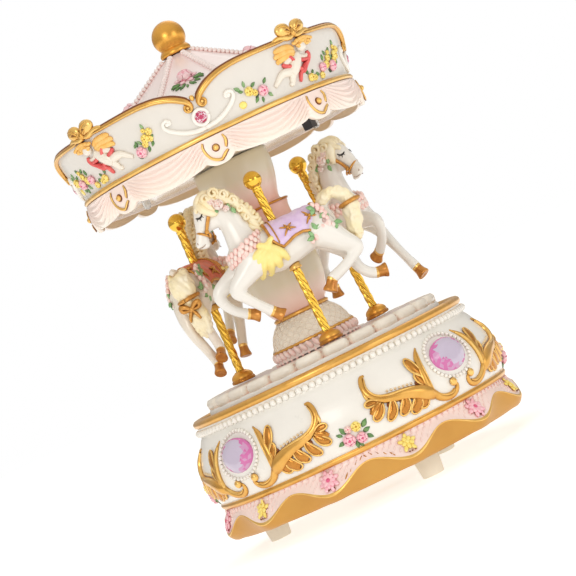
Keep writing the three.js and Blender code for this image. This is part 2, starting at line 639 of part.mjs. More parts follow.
function buildCanopy() {
  const cherubAzimuths = BASE_GEM_AZIMUTHS.map((azimuth) => azimuth + PATTERN_YAW);
  const bows = cherubAzimuths.map((azimuth) =>
    faceOut(ellipsoid(6, 4, 2.2, 8, 5), azimuth, 56, 162, 0));
  const cherubs = cherubAzimuths.map((azimuth) =>
    faceOut(ellipsoid(9, 7, 2.2, 8, 5), azimuth, 55.6, 151, -14));
  const gemAzimuths = [0, 90, 180, -90].map((azimuth) => azimuth + PATTERN_YAW);
  const gemPockets = gemAzimuths.map((azimuth) => faceOut(
    disc(CANOPY_GEM_RADIUS + GAP, 0, -1, 4, 16), azimuth, CANOPY_GEM_ORBIT, CANOPY_GEM_HEIGHT, -14));
  const shell = join(canopyShell(), ...bows, ...cherubs);
  addMesh('canopy', cut(shell, ...gemPockets), PINK_RESIN);
  gemAzimuths.forEach((azimuth, i) => {
    const radius = CANOPY_GEM_RADIUS;
    const gem = lathe([
      [0, -0.7], [radius * 0.8, -0.7], [radius, 0], [radius * 0.6, 0.9], [0, 0.9],
    ], 12);
    addMesh(`canopy_gem_${i + 1}`,
      faceOut(gem, azimuth, CANOPY_GEM_ORBIT, CANOPY_GEM_HEIGHT, -14), PINK_GEM);
  });
}

function buildFinial() {
  const [collar, centre] = [5.9, TOTAL_HEIGHT - FINIAL_BALL_RADIUS];
  const profile = [[0, ROOF_TOP + GAP], [5, ROOF_TOP + GAP], [collar, 178.1], [5, 179.5]];
  for (let angle = -36; angle < 90; angle += 18) {
    profile.push([
      FINIAL_BALL_RADIUS * Math.cos(angle * RADIANS),
      centre + FINIAL_BALL_RADIUS * Math.sin(angle * RADIANS),
    ]);
  }
  profile.push([0, TOTAL_HEIGHT]);
  addMesh('canopy_finial', lathe(profile, 18), GOLD_PAINT);
}

// A box at a polar place: it runs from start to end along the circle and lies across the orbit
function polarBlock(start, end, width, bottom, top, orbit, azimuth) {
  const [x, y] = polar(orbit, azimuth);
  return block(start, end, -width / 2, width / 2, bottom, top)
    .rotateZ(azimuth * RADIANS)
    .translate(x, y, 0);
}

function buildCanopyFloor() {
  const ledHoles = LED_PLACES.map(([orbit, azimuth]) =>
    post(...polar(orbit, azimuth), LED_RADIUS + GAP, 130, 140));
  const slot = polarBlock(
    -KNOB_LENGTH / 2 - GAP, KNOB_LENGTH / 2 + SWITCH_TRAVEL + GAP, KNOB_WIDTH + 2 * GAP,
    130, 140, SWITCH_ORBIT, SWITCH_AZIMUTH);
  const floor = disc(CANOPY_FLOOR_RADIUS, 1.9, CANOPY_FLOOR_BOTTOM, CANOPY_FLOOR_TOP, 32);
  addMesh('canopy_floor', cut(floor, ...ledHoles, slot), WHITE_RESIN);
  LED_PLACES.forEach(([orbit, azimuth], i) => {
    const led = lathe([
      [0, LED_TIP], [0.9, LED_TIP + 0.3], [LED_RADIUS, LED_TIP + 1.4], [LED_RADIUS, 135.8],
      [1.9, 135.8], [1.9, 136.8], [0, 136.8],
    ], 12);
    addMesh(`led_${i + 1}`, led.translate(...polar(orbit, azimuth), 0), CLEAR_PLASTIC);
  });
}

// Slide switch: its knob hangs through a slot in the canopy floor
function buildSwitch() {
  const [bodyBottom, half] = [CANOPY_FLOOR_TOP + GAP, KNOB_LENGTH / 2];
  const knob = polarBlock(
    -half, half, KNOB_WIDTH, KNOB_BOTTOM, bodyBottom + 0.9, SWITCH_ORBIT, SWITCH_AZIMUTH);
  addMesh('switch_slider', knob, BLACK_PLASTIC);
  const body = cut(
    polarBlock(-5.5, 7.5, 6.4, bodyBottom, 141, SWITCH_ORBIT, SWITCH_AZIMUTH),
    polarBlock(
      -half - GAP, half + SWITCH_TRAVEL + GAP, KNOB_WIDTH + 2 * GAP,
      130, bodyBottom + 1.2, SWITCH_ORBIT, SWITCH_AZIMUTH));
  addMesh('switch_body', body, STEEL);
}

// Battery holder with two button cells, above the canopy floor
function buildBattery() {
  const [cellRadius, bottom] = [5.8, CANOPY_FLOOR_TOP + GAP];
  const [x, y] = [-24, 10];
  const cellPlaces = [[x, y - 7], [x, y + 7]];
  const wells = cellPlaces.map((place) => post(...place, cellRadius, bottom + 1, 150, 20));
  const holder = cut(block(x - 8, x + 8, y - 15, y + 15, bottom, bottom + 4.4), ...wells);
  addMesh('battery_holder', holder, BLACK_PLASTIC);
  cellPlaces.forEach((place, i) => addMesh(
    `button_cell_${i + 1}`,
    post(...place, cellRadius - GAP, bottom + 1 + GAP, bottom + 6.6, 20),
    STEEL));
}

buildCasing();
buildBaseGems();
buildBottom();
buildScrews();
buildBedplate();
buildComb();
buildBarrel();
buildCylinder();
buildCylinderBrackets();
buildGovernor();
buildWindingKey();
buildSpindle();
buildDeck();
buildColumn();
buildPoles();
buildCanopy();
buildFinial();
buildCanopyFloor();
buildSwitch();
buildBattery();

export default carousel;
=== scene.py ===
"""Looks of the carousel music box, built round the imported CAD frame. Shapes are in millimetres."""

import math
import random

import bpy
import numpy as np
from mathutils import Matrix, Vector


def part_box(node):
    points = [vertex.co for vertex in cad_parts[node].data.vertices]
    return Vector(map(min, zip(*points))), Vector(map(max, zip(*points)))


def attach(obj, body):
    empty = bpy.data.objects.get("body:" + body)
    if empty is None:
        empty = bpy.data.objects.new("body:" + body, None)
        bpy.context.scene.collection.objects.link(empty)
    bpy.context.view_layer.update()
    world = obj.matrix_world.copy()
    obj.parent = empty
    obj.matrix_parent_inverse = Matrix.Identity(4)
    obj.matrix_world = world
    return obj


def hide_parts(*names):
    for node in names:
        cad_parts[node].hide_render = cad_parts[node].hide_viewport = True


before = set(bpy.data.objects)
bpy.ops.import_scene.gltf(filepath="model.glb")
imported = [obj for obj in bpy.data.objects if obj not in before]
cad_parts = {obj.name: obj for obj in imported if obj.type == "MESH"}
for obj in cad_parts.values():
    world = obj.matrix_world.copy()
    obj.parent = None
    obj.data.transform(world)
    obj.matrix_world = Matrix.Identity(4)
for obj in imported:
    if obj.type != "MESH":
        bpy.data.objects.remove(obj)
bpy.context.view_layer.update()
MM = 0.001
PATTERN_YAW = -2.0  # azimuth of the front bouquet, from the front (-Y) towards +X
BAY_YAWS = [PATTERN_YAW + 90 * bay for bay in range(4)]
BETWEEN_BAYS = 45
SIDES = (-1, 1)  # of anything made twice, as mirror images


def top_of(node):
    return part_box(node)[1].z / MM


def bottom_of(node):
    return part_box(node)[0].z / MM


def centre_of(node):
    low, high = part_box(node)
    return np.array((low + high) / 2) / MM


# ---------------------------------------------------------------- geometry helpers
def polar(radius, azimuth, height=0.0):
    """A point at an azimuth in degrees, counted from the front towards +X."""
    angle = math.radians(azimuth)
    return np.array([radius * math.sin(angle), -radius * math.cos(angle), height])


def smooth_path(points, steps=6):
    """A Catmull-Rom curve through points of any width, so radii can ride along as columns."""
    points = np.asarray(points, float)
    padded = np.vstack([2 * points[0] - points[1], points, 2 * points[-1] - points[-2]])
    out = []
    for i in range(1, len(padded) - 2):
        a, b, c, d = padded[i - 1 : i + 3]
        for t in np.arange(steps) / steps:
            out.append(
                0.5 * (2 * b + (c - a) * t + (2 * a - 5 * b + 4 * c - d) * t**2)
                + 0.5 * (3 * b - a - 3 * c + d) * t**3
            )
    out.append(padded[-2])
    return np.array(out)


def _unit(v):
    return v / max(np.linalg.norm(v), 1e-9)


class Shape:
    """Collects closed surfaces in several materials, then becomes one piece."""

    def __init__(self):
        self.verts = []
        self.faces = []
        self.paints = []
        self.flat = []
        self.count = 0

    def add(self, verts, faces, paint, flat=False):
        """Adds a surface; paint is one name for all its faces, or a list with one name per face."""
        verts = np.asarray(verts, float)
        self.verts.append(verts)
        self.faces += [tuple(i + self.count for i in face) for face in faces]
        self.paints += [paint] * len(faces) if isinstance(paint, str) else paint
        self.flat += [flat] * len(faces)
        self.count += len(verts)

    def merge(self, other, transform=None):
        """Adds a copy of another shape, moved by a function of its points."""
        verts = np.vstack(other.verts)
        self.verts.append(transform(verts) if transform else verts)
        self.faces += [tuple(i + self.count for i in face) for face in other.faces]
        self.paints += other.paints
        self.flat += other.flat
        self.count += len(verts)

    def piece(self, name, body, slot, replaces=()):
        """Makes the shape an object that rides on a body and replaces CAD nodes. slot is not used."""
        mesh = bpy.data.meshes.new(name)
        mesh.from_pydata((np.vstack(self.verts) * MM).tolist(), [], self.faces)
        names = sorted(set(self.paints))
        for paint in names:
            mesh.materials.append(MATERIALS[paint])
        slots = {paint: i for i, paint in enumerate(names)}
        mesh.polygons.foreach_set("material_index", [slots[p] for p in self.paints])
        mesh.polygons.foreach_set("use_smooth", [not flat for flat in self.flat])
        mesh.validate()
        mesh.update()
        obj = bpy.data.objects.new(name, mesh)
        bpy.context.scene.collection.objects.link(obj)
        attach(obj, body)
        if replaces:
            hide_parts(*replaces)


def ring_faces(rows, columns, wrap=True):
    """Quads between rows of columns points."""
    faces = []
    last = columns if wrap else columns - 1
    for i in range(rows - 1):
        for j in range(last):
            k = (j + 1) % columns
            faces.append((i * columns + j, i * columns + k, (i + 1) * columns + k, (i + 1) * columns + j))
    return faces


def add_ball(shape, centre, radii, paint, turn=None, columns=10, rows=6):
    """An ellipsoid: rings of latitude between two poles."""
    radii = np.broadcast_to(np.asarray(radii, float), 3)
    verts = [[0, 0, -1]]
    for i in range(1, rows):
        lat = -math.pi / 2 + math.pi * i / rows
        for j in range(columns):
            lon = 2 * math.pi * j / columns
            verts.append([math.cos(lat) * math.cos(lon), math.cos(lat) * math.sin(lon), math.sin(lat)])
    verts.append([0, 0, 1])
    verts = np.array(verts) * radii
    if turn is not None:
        verts = verts @ np.asarray(turn).T
    top = len(verts) - 1
    faces = [tuple(1 + i for i in face) for face in ring_faces(rows - 1, columns)]
    for j in range(columns):
        k = (j + 1) % columns
        faces.append((0, 1 + k, 1 + j))
        faces.append((top, top - columns + j, top - columns + k))
    shape.add(verts + np.asarray(centre, float), faces, paint)


def add_tube(shape, path, paint, sides=8, flatten=1.0, normal=None, twist=0.0, lobes=0, lobe=0.0):
    """A closed tube along rows of (x, y, z, radius). flatten squeezes it along normal."""
    path = np.asarray(path, float)
    points, radii = path[:, :3], path[:, 3]
    tangents = np.gradient(points, axis=0)
    up = np.array([0.0, 0.0, 1.0]) if normal is None else np.asarray(normal, float)
    side = None
    verts = []
    for i, (point, tangent, radius) in enumerate(zip(points, tangents, radii)):
        tangent = _unit(tangent)
        guess = np.cross(tangent, up) if side is None or normal is not None else side
        if np.linalg.norm(guess) < 1e-3:
            guess = np.cross(tangent, [1.0, 0.3, 0.1])
        side = _unit(guess - tangent * np.dot(guess, tangent))
        over = np.cross(side, tangent)
        for j in range(sides):
            angle = 2 * math.pi * j / sides + twist * i
            grow = 1 + lobe * math.cos(lobes * 2 * math.pi * j / sides)
            verts.append(
                point
                + side * (radius * grow * math.cos(angle))
                + over * (radius * grow * flatten * math.sin(angle))
            )
    count = len(points)
    faces = ring_faces(count, sides)
    verts += [points[0], points[-1]]
    base, end = count * sides, count * sides + 1
    for j in range(sides):
        k = (j + 1) % sides
        faces.append((base, k, j))
        faces.append((end, (count - 1) * sides + j, (count - 1) * sides + k))
    shape.add(verts, faces, paint)


def moved(turn, centre):
    """A transform for Shape.merge: turned by a matrix, then moved to a centre."""
    return lambda verts: verts @ turn.T + np.asarray(centre, float)


def add_lathe(shape, profile, paints, segments=96, warp=None):
    """A profile of (radius, height) turned about the axis; paints is one name, or one per step."""
    verts = []
    for radius, height in profile:
        for j in range(segments):
            azimuth = 360 * j / segments
            r, z = warp(radius, azimuth, height) if warp else (radius, height)
            verts.append(polar(r, azimuth, z))
    if not isinstance(paints, str):
        paints = [name for name in paints[: len(profile) - 1] for _ in range(segments)]
    shape.add(verts, ring_faces(len(profile), segments), paints)


def rounded(profile, steps=4):
    """A smoother profile through the same points."""
    return [tuple(p) for p in smooth_path(profile, steps)]


def wall_mapper(profile, azimuth, reference):
    """Wraps flat relief (u across, z up, w outwards) round a wall of revolution.

    reference is the radius at which u keeps its length.
    """
    heights = [z for _, z in profile]
    radii = [r for r, _ in profile]

    def wrap(verts):
        u, z, w = verts.T
        radius = np.interp(z, heights, radii)
        slope = np.interp(z + 0.5, heights, radii) - np.interp(z - 0.5, heights, radii)
        scale = 1 / np.sqrt(1 + slope**2)
        angle = np.radians(azimuth) + u / reference
        r = radius + w * scale
        return np.stack([r * np.sin(angle), -r * np.cos(angle), z - w * slope * scale], 1)

    return wrap


# Flat relief runs across, up and outwards: (u, z, w)
OUT = np.array([0.0, 0.0, 1.0])


def add_stroke(shape, points, paint, flatten=0.75, sides=8, steps=5):
    """A modelled stroke of relief through (u, z, radius) points, half sunk in the wall."""
    rows = [(u, z, 0.25 * r, r) for u, z, r in points]
    add_tube(shape, smooth_path(rows, steps), paint, sides=sides, flatten=flatten, normal=OUT)


def add_leaf(shape, u, z, length, angle, paint, width=0.42, lift=0.5):
    """A pointed leaf with a raised midrib, in relief, pointing at an angle from +u."""
    steps = 6
    ahead = np.array([math.cos(math.radians(angle)), math.sin(math.radians(angle))])
    side = np.array([-ahead[1], ahead[0]])
    verts = []
    for i in range(steps + 1):
        t = i / steps
        half = width * length * math.sin(math.pi * min(1, t * 0.97 + 0.03)) ** 0.8 * (1 - 0.35 * t)
        middle = np.array([u, z]) + ahead * length * t
        rise = lift * (0.5 + math.sin(math.pi * t) * 0.8)
        for share, level in ((-1, 0.15), (-0.5, 0.7), (0, 0.45), (0.5, 0.7), (1, 0.15), (0, -0.6)):
            point = middle + side * half * share
            verts.append([point[0], point[1], rise * level + (0 if level > 0 else -0.2)])
    faces = ring_faces(steps + 1, 6)
    faces.append((5, 4, 3, 2, 1, 0))
    faces.append(tuple(steps * 6 + j for j in range(6)))
    shape.add(verts, faces, paint)


def add_rose(shape, u, z, radius, paint, heart):
    """A rose: rings of cupped petals round a tight heart, in relief."""
    add_ball(shape, (u, z, 0.25 * radius), (radius * 0.8, radius * 0.8, radius * 0.5), paint)
    for count, reach, size, lean in ((5, 0.68, 0.5, 0.35), (4, 0.36, 0.36, 0.75)):
        for i in range(count):
            angle = 2 * math.pi * (i + 0.5 * (count == 4)) / count
            across = np.array([math.cos(angle), math.sin(angle), 0])
            along = np.array([-math.sin(angle), math.cos(angle), 0])
            normal = _unit(across * (1 - lean) + OUT * lean)
            turn = np.stack([along, np.cross(normal, along), normal], 1)
            centre = np.array([u, z, 0]) + across * reach * radius + OUT * radius * (0.35 + 0.4 * lean)
            add_ball(shape, centre, (size * radius, size * radius * 0.8, 0.14 * radius), paint, turn, 8, 4)
    add_ball(shape, (u, z, radius * 0.72), radius * 0.2, heart, columns=8, rows=4)


def add_daisy(shape, u, z, radius, paint, heart, petals=7):
    """An open flower: flat petals round a small dome, in relief."""
    for i in range(petals):
        angle = 2 * math.pi * i / petals
        across = np.array([math.cos(angle), math.sin(angle), 0])
        along = np.array([-math.sin(angle), math.cos(angle), 0])
        turn = np.stack([across, along, OUT], 1)
        centre = np.array([u, z, 0.3]) + across * radius * 0.58
        add_ball(shape, centre, (radius * 0.45, radius * 0.24, 0.34), paint, turn, 8, 4)
    add_ball(shape, (u, z, 0.5), (radius * 0.28, radius * 0.28, 0.35), heart, columns=8, rows=4)


# ---------------------------------------------------------------- materials
MATERIALS = {}
WHITE = (1, 1, 1, 1)
COAT_ROUGHNESS = 0.12
GRAIN_SCALE = 900
GRAIN_DEPTH = 0.0002  # of the fine uneven surface, in metres
# Crevices are darkened by ambient occlusion: painted shade, and on the golds also their antiquing.
WASH_AND_SHADE_SAMPLES = 8
WASH_AND_SHADE_FULL, WASH_AND_SHADE_NONE = 0.3, 0.85  # how open a place is where the darkening of the crevices, painted shade, is full, and where it ends
FADE_NOISE = 90
FADE_WANDER = 2.5  # how far a fade between colours wanders up and down, in millimetres
CELL_SCALE = 420
CELL_DEPTH = 0.0004  # in metres
# Dark brown for the golds' crevices: their antiquing and painted shade.
UMBER_WASH_AND_SHADE = (0.20, 0.06, 0.012)
# Deep pink for the crevices of the pink lattice: painted shade.
BLUSH_SHADE = (0.80, 0.42, 0.36)


def feed(tree, node, inputs):
    """Sets a node's inputs: each value is a constant, or another node's output to wire in."""
    for socket, value in inputs.items():
        if isinstance(value, bpy.types.NodeSocket):
            tree.links.new(value, node.inputs[socket])
        else:
            node.inputs[socket].default_value = value


def add_node(tree, kind, inputs):
    node = tree.nodes.new(kind)
    feed(tree, node, inputs)
    return node


def mix_colors(tree, share, low, high):
    """The output of a mix from a low colour to a high one, by a share."""
    mix = tree.nodes.new("ShaderNodeMix")
    mix.data_type = "RGBA"
    feed(tree, mix, {0: share, 6: low, 7: high})
    return mix.outputs[2]


def add_wash_and_shade(tree, plain, color, reach):
    """The output of a plain colour darkened in the crevices by ambient occlusion, within a reach in
    millimetres: painted shade, and on the golds also their antiquing.
    """
    hollow = tree.nodes.new("ShaderNodeAmbientOcclusion")
    hollow.samples = WASH_AND_SHADE_SAMPLES
    hollow.inputs["Distance"].default_value = reach * MM
    limits = {"From Min": WASH_AND_SHADE_FULL, "From Max": WASH_AND_SHADE_NONE}
    depth = add_node(tree, "ShaderNodeMapRange", {"Value": hollow.outputs["AO"], **limits})
    return mix_colors(tree, depth.outputs["Result"], (*color, 1), plain)


def paint(name, color, roughness, metallic=0.0, coat=0.0, vary=0.05, patch=120, bump=0.1,
          dark=None, transmission=0.0, wash_and_shade=None, reach=1.0):
    """A hand-painted finish: colour patches, uneven gloss, a fine uneven surface and darker colour in the
    crevices, which is painted shade and, on the golds, also their antiquing.

    The patches are in dark, or else darker than the colour by vary; patch is their noise scale.
    """
    mat = bpy.data.materials.new(name)
    mat.use_nodes = True
    tree = mat.node_tree
    place = tree.nodes.new("ShaderNodeTexCoord").outputs["Object"]
    patches = add_node(tree, "ShaderNodeTexNoise", {"Vector": place, "Scale": patch, "Detail": 5})
    amount = patches.outputs["Fac"]
    spread = add_node(tree, "ShaderNodeMapRange", {"Value": amount, "From Min": 0.25, "From Max": 0.7})
    low = dark or [c * (1 - 2 * vary) for c in color]
    base = mix_colors(tree, spread.outputs["Result"], (*low, 1), (*color, 1))
    if wash_and_shade:
        base = add_wash_and_shade(tree, base, wash_and_shade, reach)
    limits = {"To Min": roughness * 0.75, "To Max": min(1, roughness * 1.25)}
    gloss = add_node(tree, "ShaderNodeMapRange", {"Value": amount, **limits})
    fine = add_node(tree, "ShaderNodeTexNoise", {"Vector": place, "Scale": GRAIN_SCALE, "Detail": 3})
    grain = {"Height": fine.outputs["Fac"], "Strength": bump, "Distance": GRAIN_DEPTH}
    relief = add_node(tree, "ShaderNodeBump", grain)
    feed(tree, tree.nodes["Principled BSDF"], {
        "Base Color": base, "Roughness": gloss.outputs["Result"], "Normal": relief.outputs["Normal"],
        "Metallic": metallic, "Coat Weight": coat, "Coat Roughness": COAT_ROUGHNESS,
        "Transmission Weight": transmission})
    MATERIALS[name] = mat
    return tree


def make_glazes():
    paint("white_glaze", (0.87, 0.85, 0.80), 0.3, coat=0.35, vary=0.02)
    paint("pearl_white", (0.90, 0.87, 0.81), 0.22, coat=0.5, vary=0.02, wash_and_shade=(0.76, 0.71, 0.60), reach=0.8)
    paint("cream_glaze", (0.84, 0.75, 0.62), 0.38, coat=0.2)
    paint("pink_glaze", (0.90, 0.73, 0.68), 0.34, coat=0.3)
    paint("blush_glaze", (0.87, 0.77, 0.71), 0.34, coat=0.3)
    paint("cream_tile", (0.90, 0.84, 0.74), 0.34, coat=0.3, wash_and_shade=(0.82, 0.58, 0.46), reach=1.4)
    paint("rib_bead", (0.96, 0.85, 0.83), 0.3, coat=0.4, vary=0.02, wash_and_shade=(0.93, 0.64, 0.60), reach=0.5)
    paint("bead_pink", (0.93, 0.66, 0.62), 0.28, coat=0.4, dark=(0.93, 0.84, 0.80), patch=700,
          wash_and_shade=(0.90, 0.58, 0.52), reach=0.8)
    # The crown wall is greyer than the white glaze: painted shade, as the wall leans out and faces a little
    # down.
    paint("crown_white", (0.74, 0.71, 0.66), 0.3, coat=0.35, vary=0.02)
    paint("plate_white", (0.80, 0.74, 0.66), 0.16, coat=0.6, vary=0.02)
    paint("foot_cream", (0.86, 0.79, 0.66), 0.7, vary=0.03)
    paint("skin_cream", (0.86, 0.80, 0.70), 0.34, coat=0.3, vary=0.03, wash_and_shade=(0.80, 0.64, 0.48), reach=0.7)
    paint("lattice_cream", (0.94, 0.88, 0.77), 0.34, coat=0.3, vary=0.03, wash_and_shade=(0.80, 0.64, 0.50), reach=0.7)
    # Light brown for the drape's inside: painted shade under the canopy.
    paint("drape_inside", (0.78, 0.58, 0.36), 0.5, vary=0.04)


def make_golds():
    # gold_light and gold_dark are lighter and darker copies of the gold: where they run as thin strokes along
    # the relief they are painted highlights and painted shade.
    paint("gold_paint", (0.80, 0.46, 0.12), 0.3, metallic=0.85, coat=0.15, dark=(0.68, 0.35, 0.07), patch=200,
          bump=0.12, wash_and_shade=UMBER_WASH_AND_SHADE)
    paint("gold_light", (0.93, 0.62, 0.20), 0.3, metallic=0.8, coat=0.15, dark=(0.82, 0.47, 0.12), patch=260,
          bump=0.12, wash_and_shade=UMBER_WASH_AND_SHADE)
    paint("gold_dark", (0.60, 0.26, 0.045), 0.28, metallic=0.85, coat=0.2, dark=(0.48, 0.19, 0.03), patch=300,
          bump=0.15, wash_and_shade=UMBER_WASH_AND_SHADE)
    paint("gold_shadow", (0.24, 0.07, 0.015), 0.5, metallic=0.2, vary=0.15, patch=400)
    paint("gold_ball", (0.84, 0.44, 0.085), 0.32, metallic=0.85, coat=0.1, dark=(0.76, 0.36, 0.055), patch=80,
          bump=0.05, wash_and_shade=UMBER_WASH_AND_SHADE)
    paint("gold_edge", (0.62, 0.33, 0.07), 0.4, metallic=0.5, coat=0.1, dark=(0.55, 0.27, 0.05), patch=60,
          bump=0.06)
    paint("bright_brass", (0.95, 0.62, 0.10), 0.16, metallic=0.95, coat=0.1, dark=(0.82, 0.46, 0.05),
          patch=300, bump=0.05, wash_and_shade=(0.30, 0.12, 0.01), reach=0.8)
    paint("gold_bead", (0.86, 0.66, 0.40), 0.34, metallic=0.3, coat=0.2, patch=300)
    # Dark brown under the deck: painted shade.
    paint("dark_recess", (0.30, 0.17, 0.08), 0.5, metallic=0.2, vary=0.15)
    paint("gold_hoof", (0.66, 0.30, 0.06), 0.3, metallic=0.6, coat=0.2, dark=(0.44, 0.15, 0.025), patch=320)
    paint("gold_strap", (0.72, 0.36, 0.08), 0.36, metallic=0.6, coat=0.2, dark=(0.48, 0.20, 0.03), patch=420,
          wash_and_shade=UMBER_WASH_AND_SHADE)


def make_blossoms():
    paint("rose_pink", (0.92, 0.42, 0.52), 0.4, coat=0.2, dark=(0.94, 0.68, 0.70), patch=900,
          wash_and_shade=(0.78, 0.14, 0.28), reach=0.7)
    paint("roof_rose", (0.93, 0.56, 0.62), 0.4, coat=0.2, dark=(0.95, 0.74, 0.76), patch=700,
          wash_and_shade=(0.86, 0.28, 0.40), reach=0.7)
    paint("rose_heart", (0.78, 0.12, 0.26), 0.45, vary=0.1)
    paint("rose_shadow", (0.80, 0.56, 0.46), 0.45, vary=0.1)
    paint("flower_yellow", (0.97, 0.84, 0.28), 0.4, coat=0.2, dark=(0.94, 0.70, 0.12), patch=900,
          wash_and_shade=(0.78, 0.48, 0.04), reach=0.7)
    paint("flower_heart", (0.60, 0.30, 0.03), 0.5, vary=0.1)
    paint("leaf_green", (0.20, 0.38, 0.12), 0.42, coat=0.2, dark=(0.06, 0.18, 0.05), patch=800,
          wash_and_shade=(0.03, 0.08, 0.02))
    paint("leaf_light", (0.36, 0.54, 0.26), 0.42, coat=0.2, dark=(0.16, 0.34, 0.12), patch=800,
          wash_and_shade=(0.06, 0.16, 0.05))
    paint("leaf_dark", (0.05, 0.10, 0.04), 0.42, coat=0.2, dark=(0.02, 0.04, 0.02), patch=800)
    paint("leaf_fresh", (0.36, 0.60, 0.28), 0.4, coat=0.2, dark=(0.14, 0.34, 0.12), patch=900,
          wash_and_shade=(0.06, 0.20, 0.06))
    paint("blossom_pink", (0.92, 0.60, 0.55), 0.36, coat=0.3, dark=(0.93, 0.78, 0.72), patch=900,
          wash_and_shade=(0.90, 0.46, 0.43))
    paint("blossom_pale", (0.90, 0.78, 0.72), 0.36, coat=0.3, vary=0.04, patch=900, wash_and_shade=(0.88, 0.50, 0.44))
    paint("hair_gold", (0.92, 0.58, 0.16), 0.4, coat=0.2, dark=(0.86, 0.44, 0.08), patch=500,
          wash_and_shade=(0.55, 0.22, 0.03))
    paint("wing_gold", (0.88, 0.46, 0.09), 0.4, coat=0.2, dark=(0.92, 0.62, 0.22), patch=400,
          wash_and_shade=(0.62, 0.26, 0.04))
    paint("sash_red", (0.90, 0.18, 0.16), 0.36, coat=0.3, dark=(0.66, 0.05, 0.06), patch=500,
          wash_and_shade=(0.30, 0.01, 0.01))


def make_stones():
    paint("lilac_cut", (0.74, 0.66, 0.84), 0.05, vary=0.02, bump=0, transmission=0.25, coat=0.4)
    paint("magenta_cut", (0.80, 0.20, 0.52), 0.05, vary=0.05, bump=0, transmission=0.2, coat=0.4)
    paint("orchid_cut", (0.82, 0.42, 0.70), 0.05, vary=0.05, bump=0, transmission=0.25, coat=0.4)
    paint("ruby_cut", (0.60, 0.05, 0.14), 0.05, vary=0.08, bump=0, transmission=0.15)
    paint("pink_cut", (0.90, 0.50, 0.62), 0.05, vary=0.08, bump=0, transmission=0.2)
    # Pale facets for the small stones: painted glints.
    paint("pale_cut", (0.94, 0.84, 0.90), 0.05, vary=0.04, bump=0, transmission=0.2)


def make_horse_paints():
    paint("horse_white", (0.85, 0.825, 0.775), 0.26, coat=0.45, vary=0.02, wash_and_shade=(0.80, 0.71, 0.58), reach=1.6)
    # A darker, warmer copy of the horses' white with a wider darkening in the hollows: painted shade for the
    # horse furthest back.
    paint("horse_ivory", (0.84, 0.77, 0.67), 0.28, coat=0.4, vary=0.03, wash_and_shade=(0.72, 0.56, 0.42), reach=2.5)
    paint("mane_cream", (0.93, 0.79, 0.45), 0.34, coat=0.3, dark=(0.91, 0.85, 0.68), patch=130,
          wash_and_shade=(0.74, 0.52, 0.20), reach=1.3)
    paint("lash_black", (0.015, 0.012, 0.012), 0.35, coat=0.3, vary=0.2)
    paint("nostril_brown", (0.36, 0.22, 0.15), 0.5, vary=0.1)
    paint("cloth_lavender", (0.72, 0.54, 0.84), 0.42, coat=0.15, dark=(0.82, 0.68, 0.90), patch=500, bump=0.2)
    paint("cloth_coral", (0.76, 0.22, 0.13), 0.42, coat=0.15, dark=(0.62, 0.13, 0.07), patch=500, bump=0.2)
    paint("bow_yellow", (0.96, 0.82, 0.30), 0.36, coat=0.3, dark=(0.96, 0.80, 0.28), patch=300,
          wash_and_shade=(0.86, 0.52, 0.04), reach=1.3)


def make_works():
    """Finishes of the movement and the fittings, mostly hidden."""
    paint("zinc_cast", (0.52, 0.52, 0.50), 0.45, metallic=0.8, patch=300, bump=0.3, wash_and_shade=(0.2, 0.19, 0.18))
    paint("steel_bright", (0.62, 0.61, 0.60), 0.22, metallic=1.0, patch=500, bump=0.08,
          wash_and_shade=(0.2, 0.19, 0.18))
    paint("brass_turned", (0.78, 0.54, 0.20), 0.28, metallic=0.9, patch=400, bump=0.1,
          wash_and_shade=(0.28, 0.15, 0.04))
    paint("black_moulded", (0.018, 0.018, 0.02), 0.42, vary=0.2, patch=500, bump=0.15)
    paint("grey_moulded", (0.20, 0.20, 0.21), 0.5, vary=0.1, patch=500, bump=0.15)
    paint("cover_cream", (0.72, 0.62, 0.50), 0.55, vary=0.04, bump=0.2)
    paint("lamp_clear", (0.90, 0.90, 0.88), 0.08, coat=0.5, vary=0.02, bump=0.02, transmission=0.6)


def make_materials():
    make_glazes()
    make_golds()
    make_blossoms()
    make_stones()
    make_horse_paints()
    make_works()


def paint_by_height(name, stops, roughness):
    """A glaze whose colour fades between heights, given as (height in mm, colour)."""
    tree = paint(name, stops[0][1], roughness, coat=0.3, vary=0.0)
    place = tree.nodes.new("ShaderNodeTexCoord").outputs["Object"]
    split = add_node(tree, "ShaderNodeSeparateXYZ", {0: place})
    wander = add_node(tree, "ShaderNodeTexNoise", {"Scale": FADE_NOISE, "Vector": place})
    shifted = tree.nodes.new("ShaderNodeMath")
    shifted.operation = "MULTIPLY_ADD"
    feed(tree, shifted, {0: wander.outputs["Fac"], 1: FADE_WANDER * MM, 2: split.outputs["Z"]})
    low, high = stops[0][0], stops[-1][0]
    limits = {"From Min": (low + FADE_WANDER / 2) * MM, "From Max": (high + FADE_WANDER / 2) * MM}
    span = add_node(tree, "ShaderNodeMapRange", {"Value": shifted.outputs[0], **limits})
    ramp = add_node(tree, "ShaderNodeValToRGB", {0: span.outputs["Result"]})
    elements = ramp.color_ramp.elements
    while len(elements) < len(stops):
        elements.new(0.5)
    for element, (height, _) in zip(elements, stops):
        element.position = (height - low) / (high - low)
    for element, (_, color) in zip(elements, stops):
        element.color = (*color, 1)
    feed(tree, tree.nodes["Principled BSDF"], {"Base Color": ramp.outputs["Color"]})


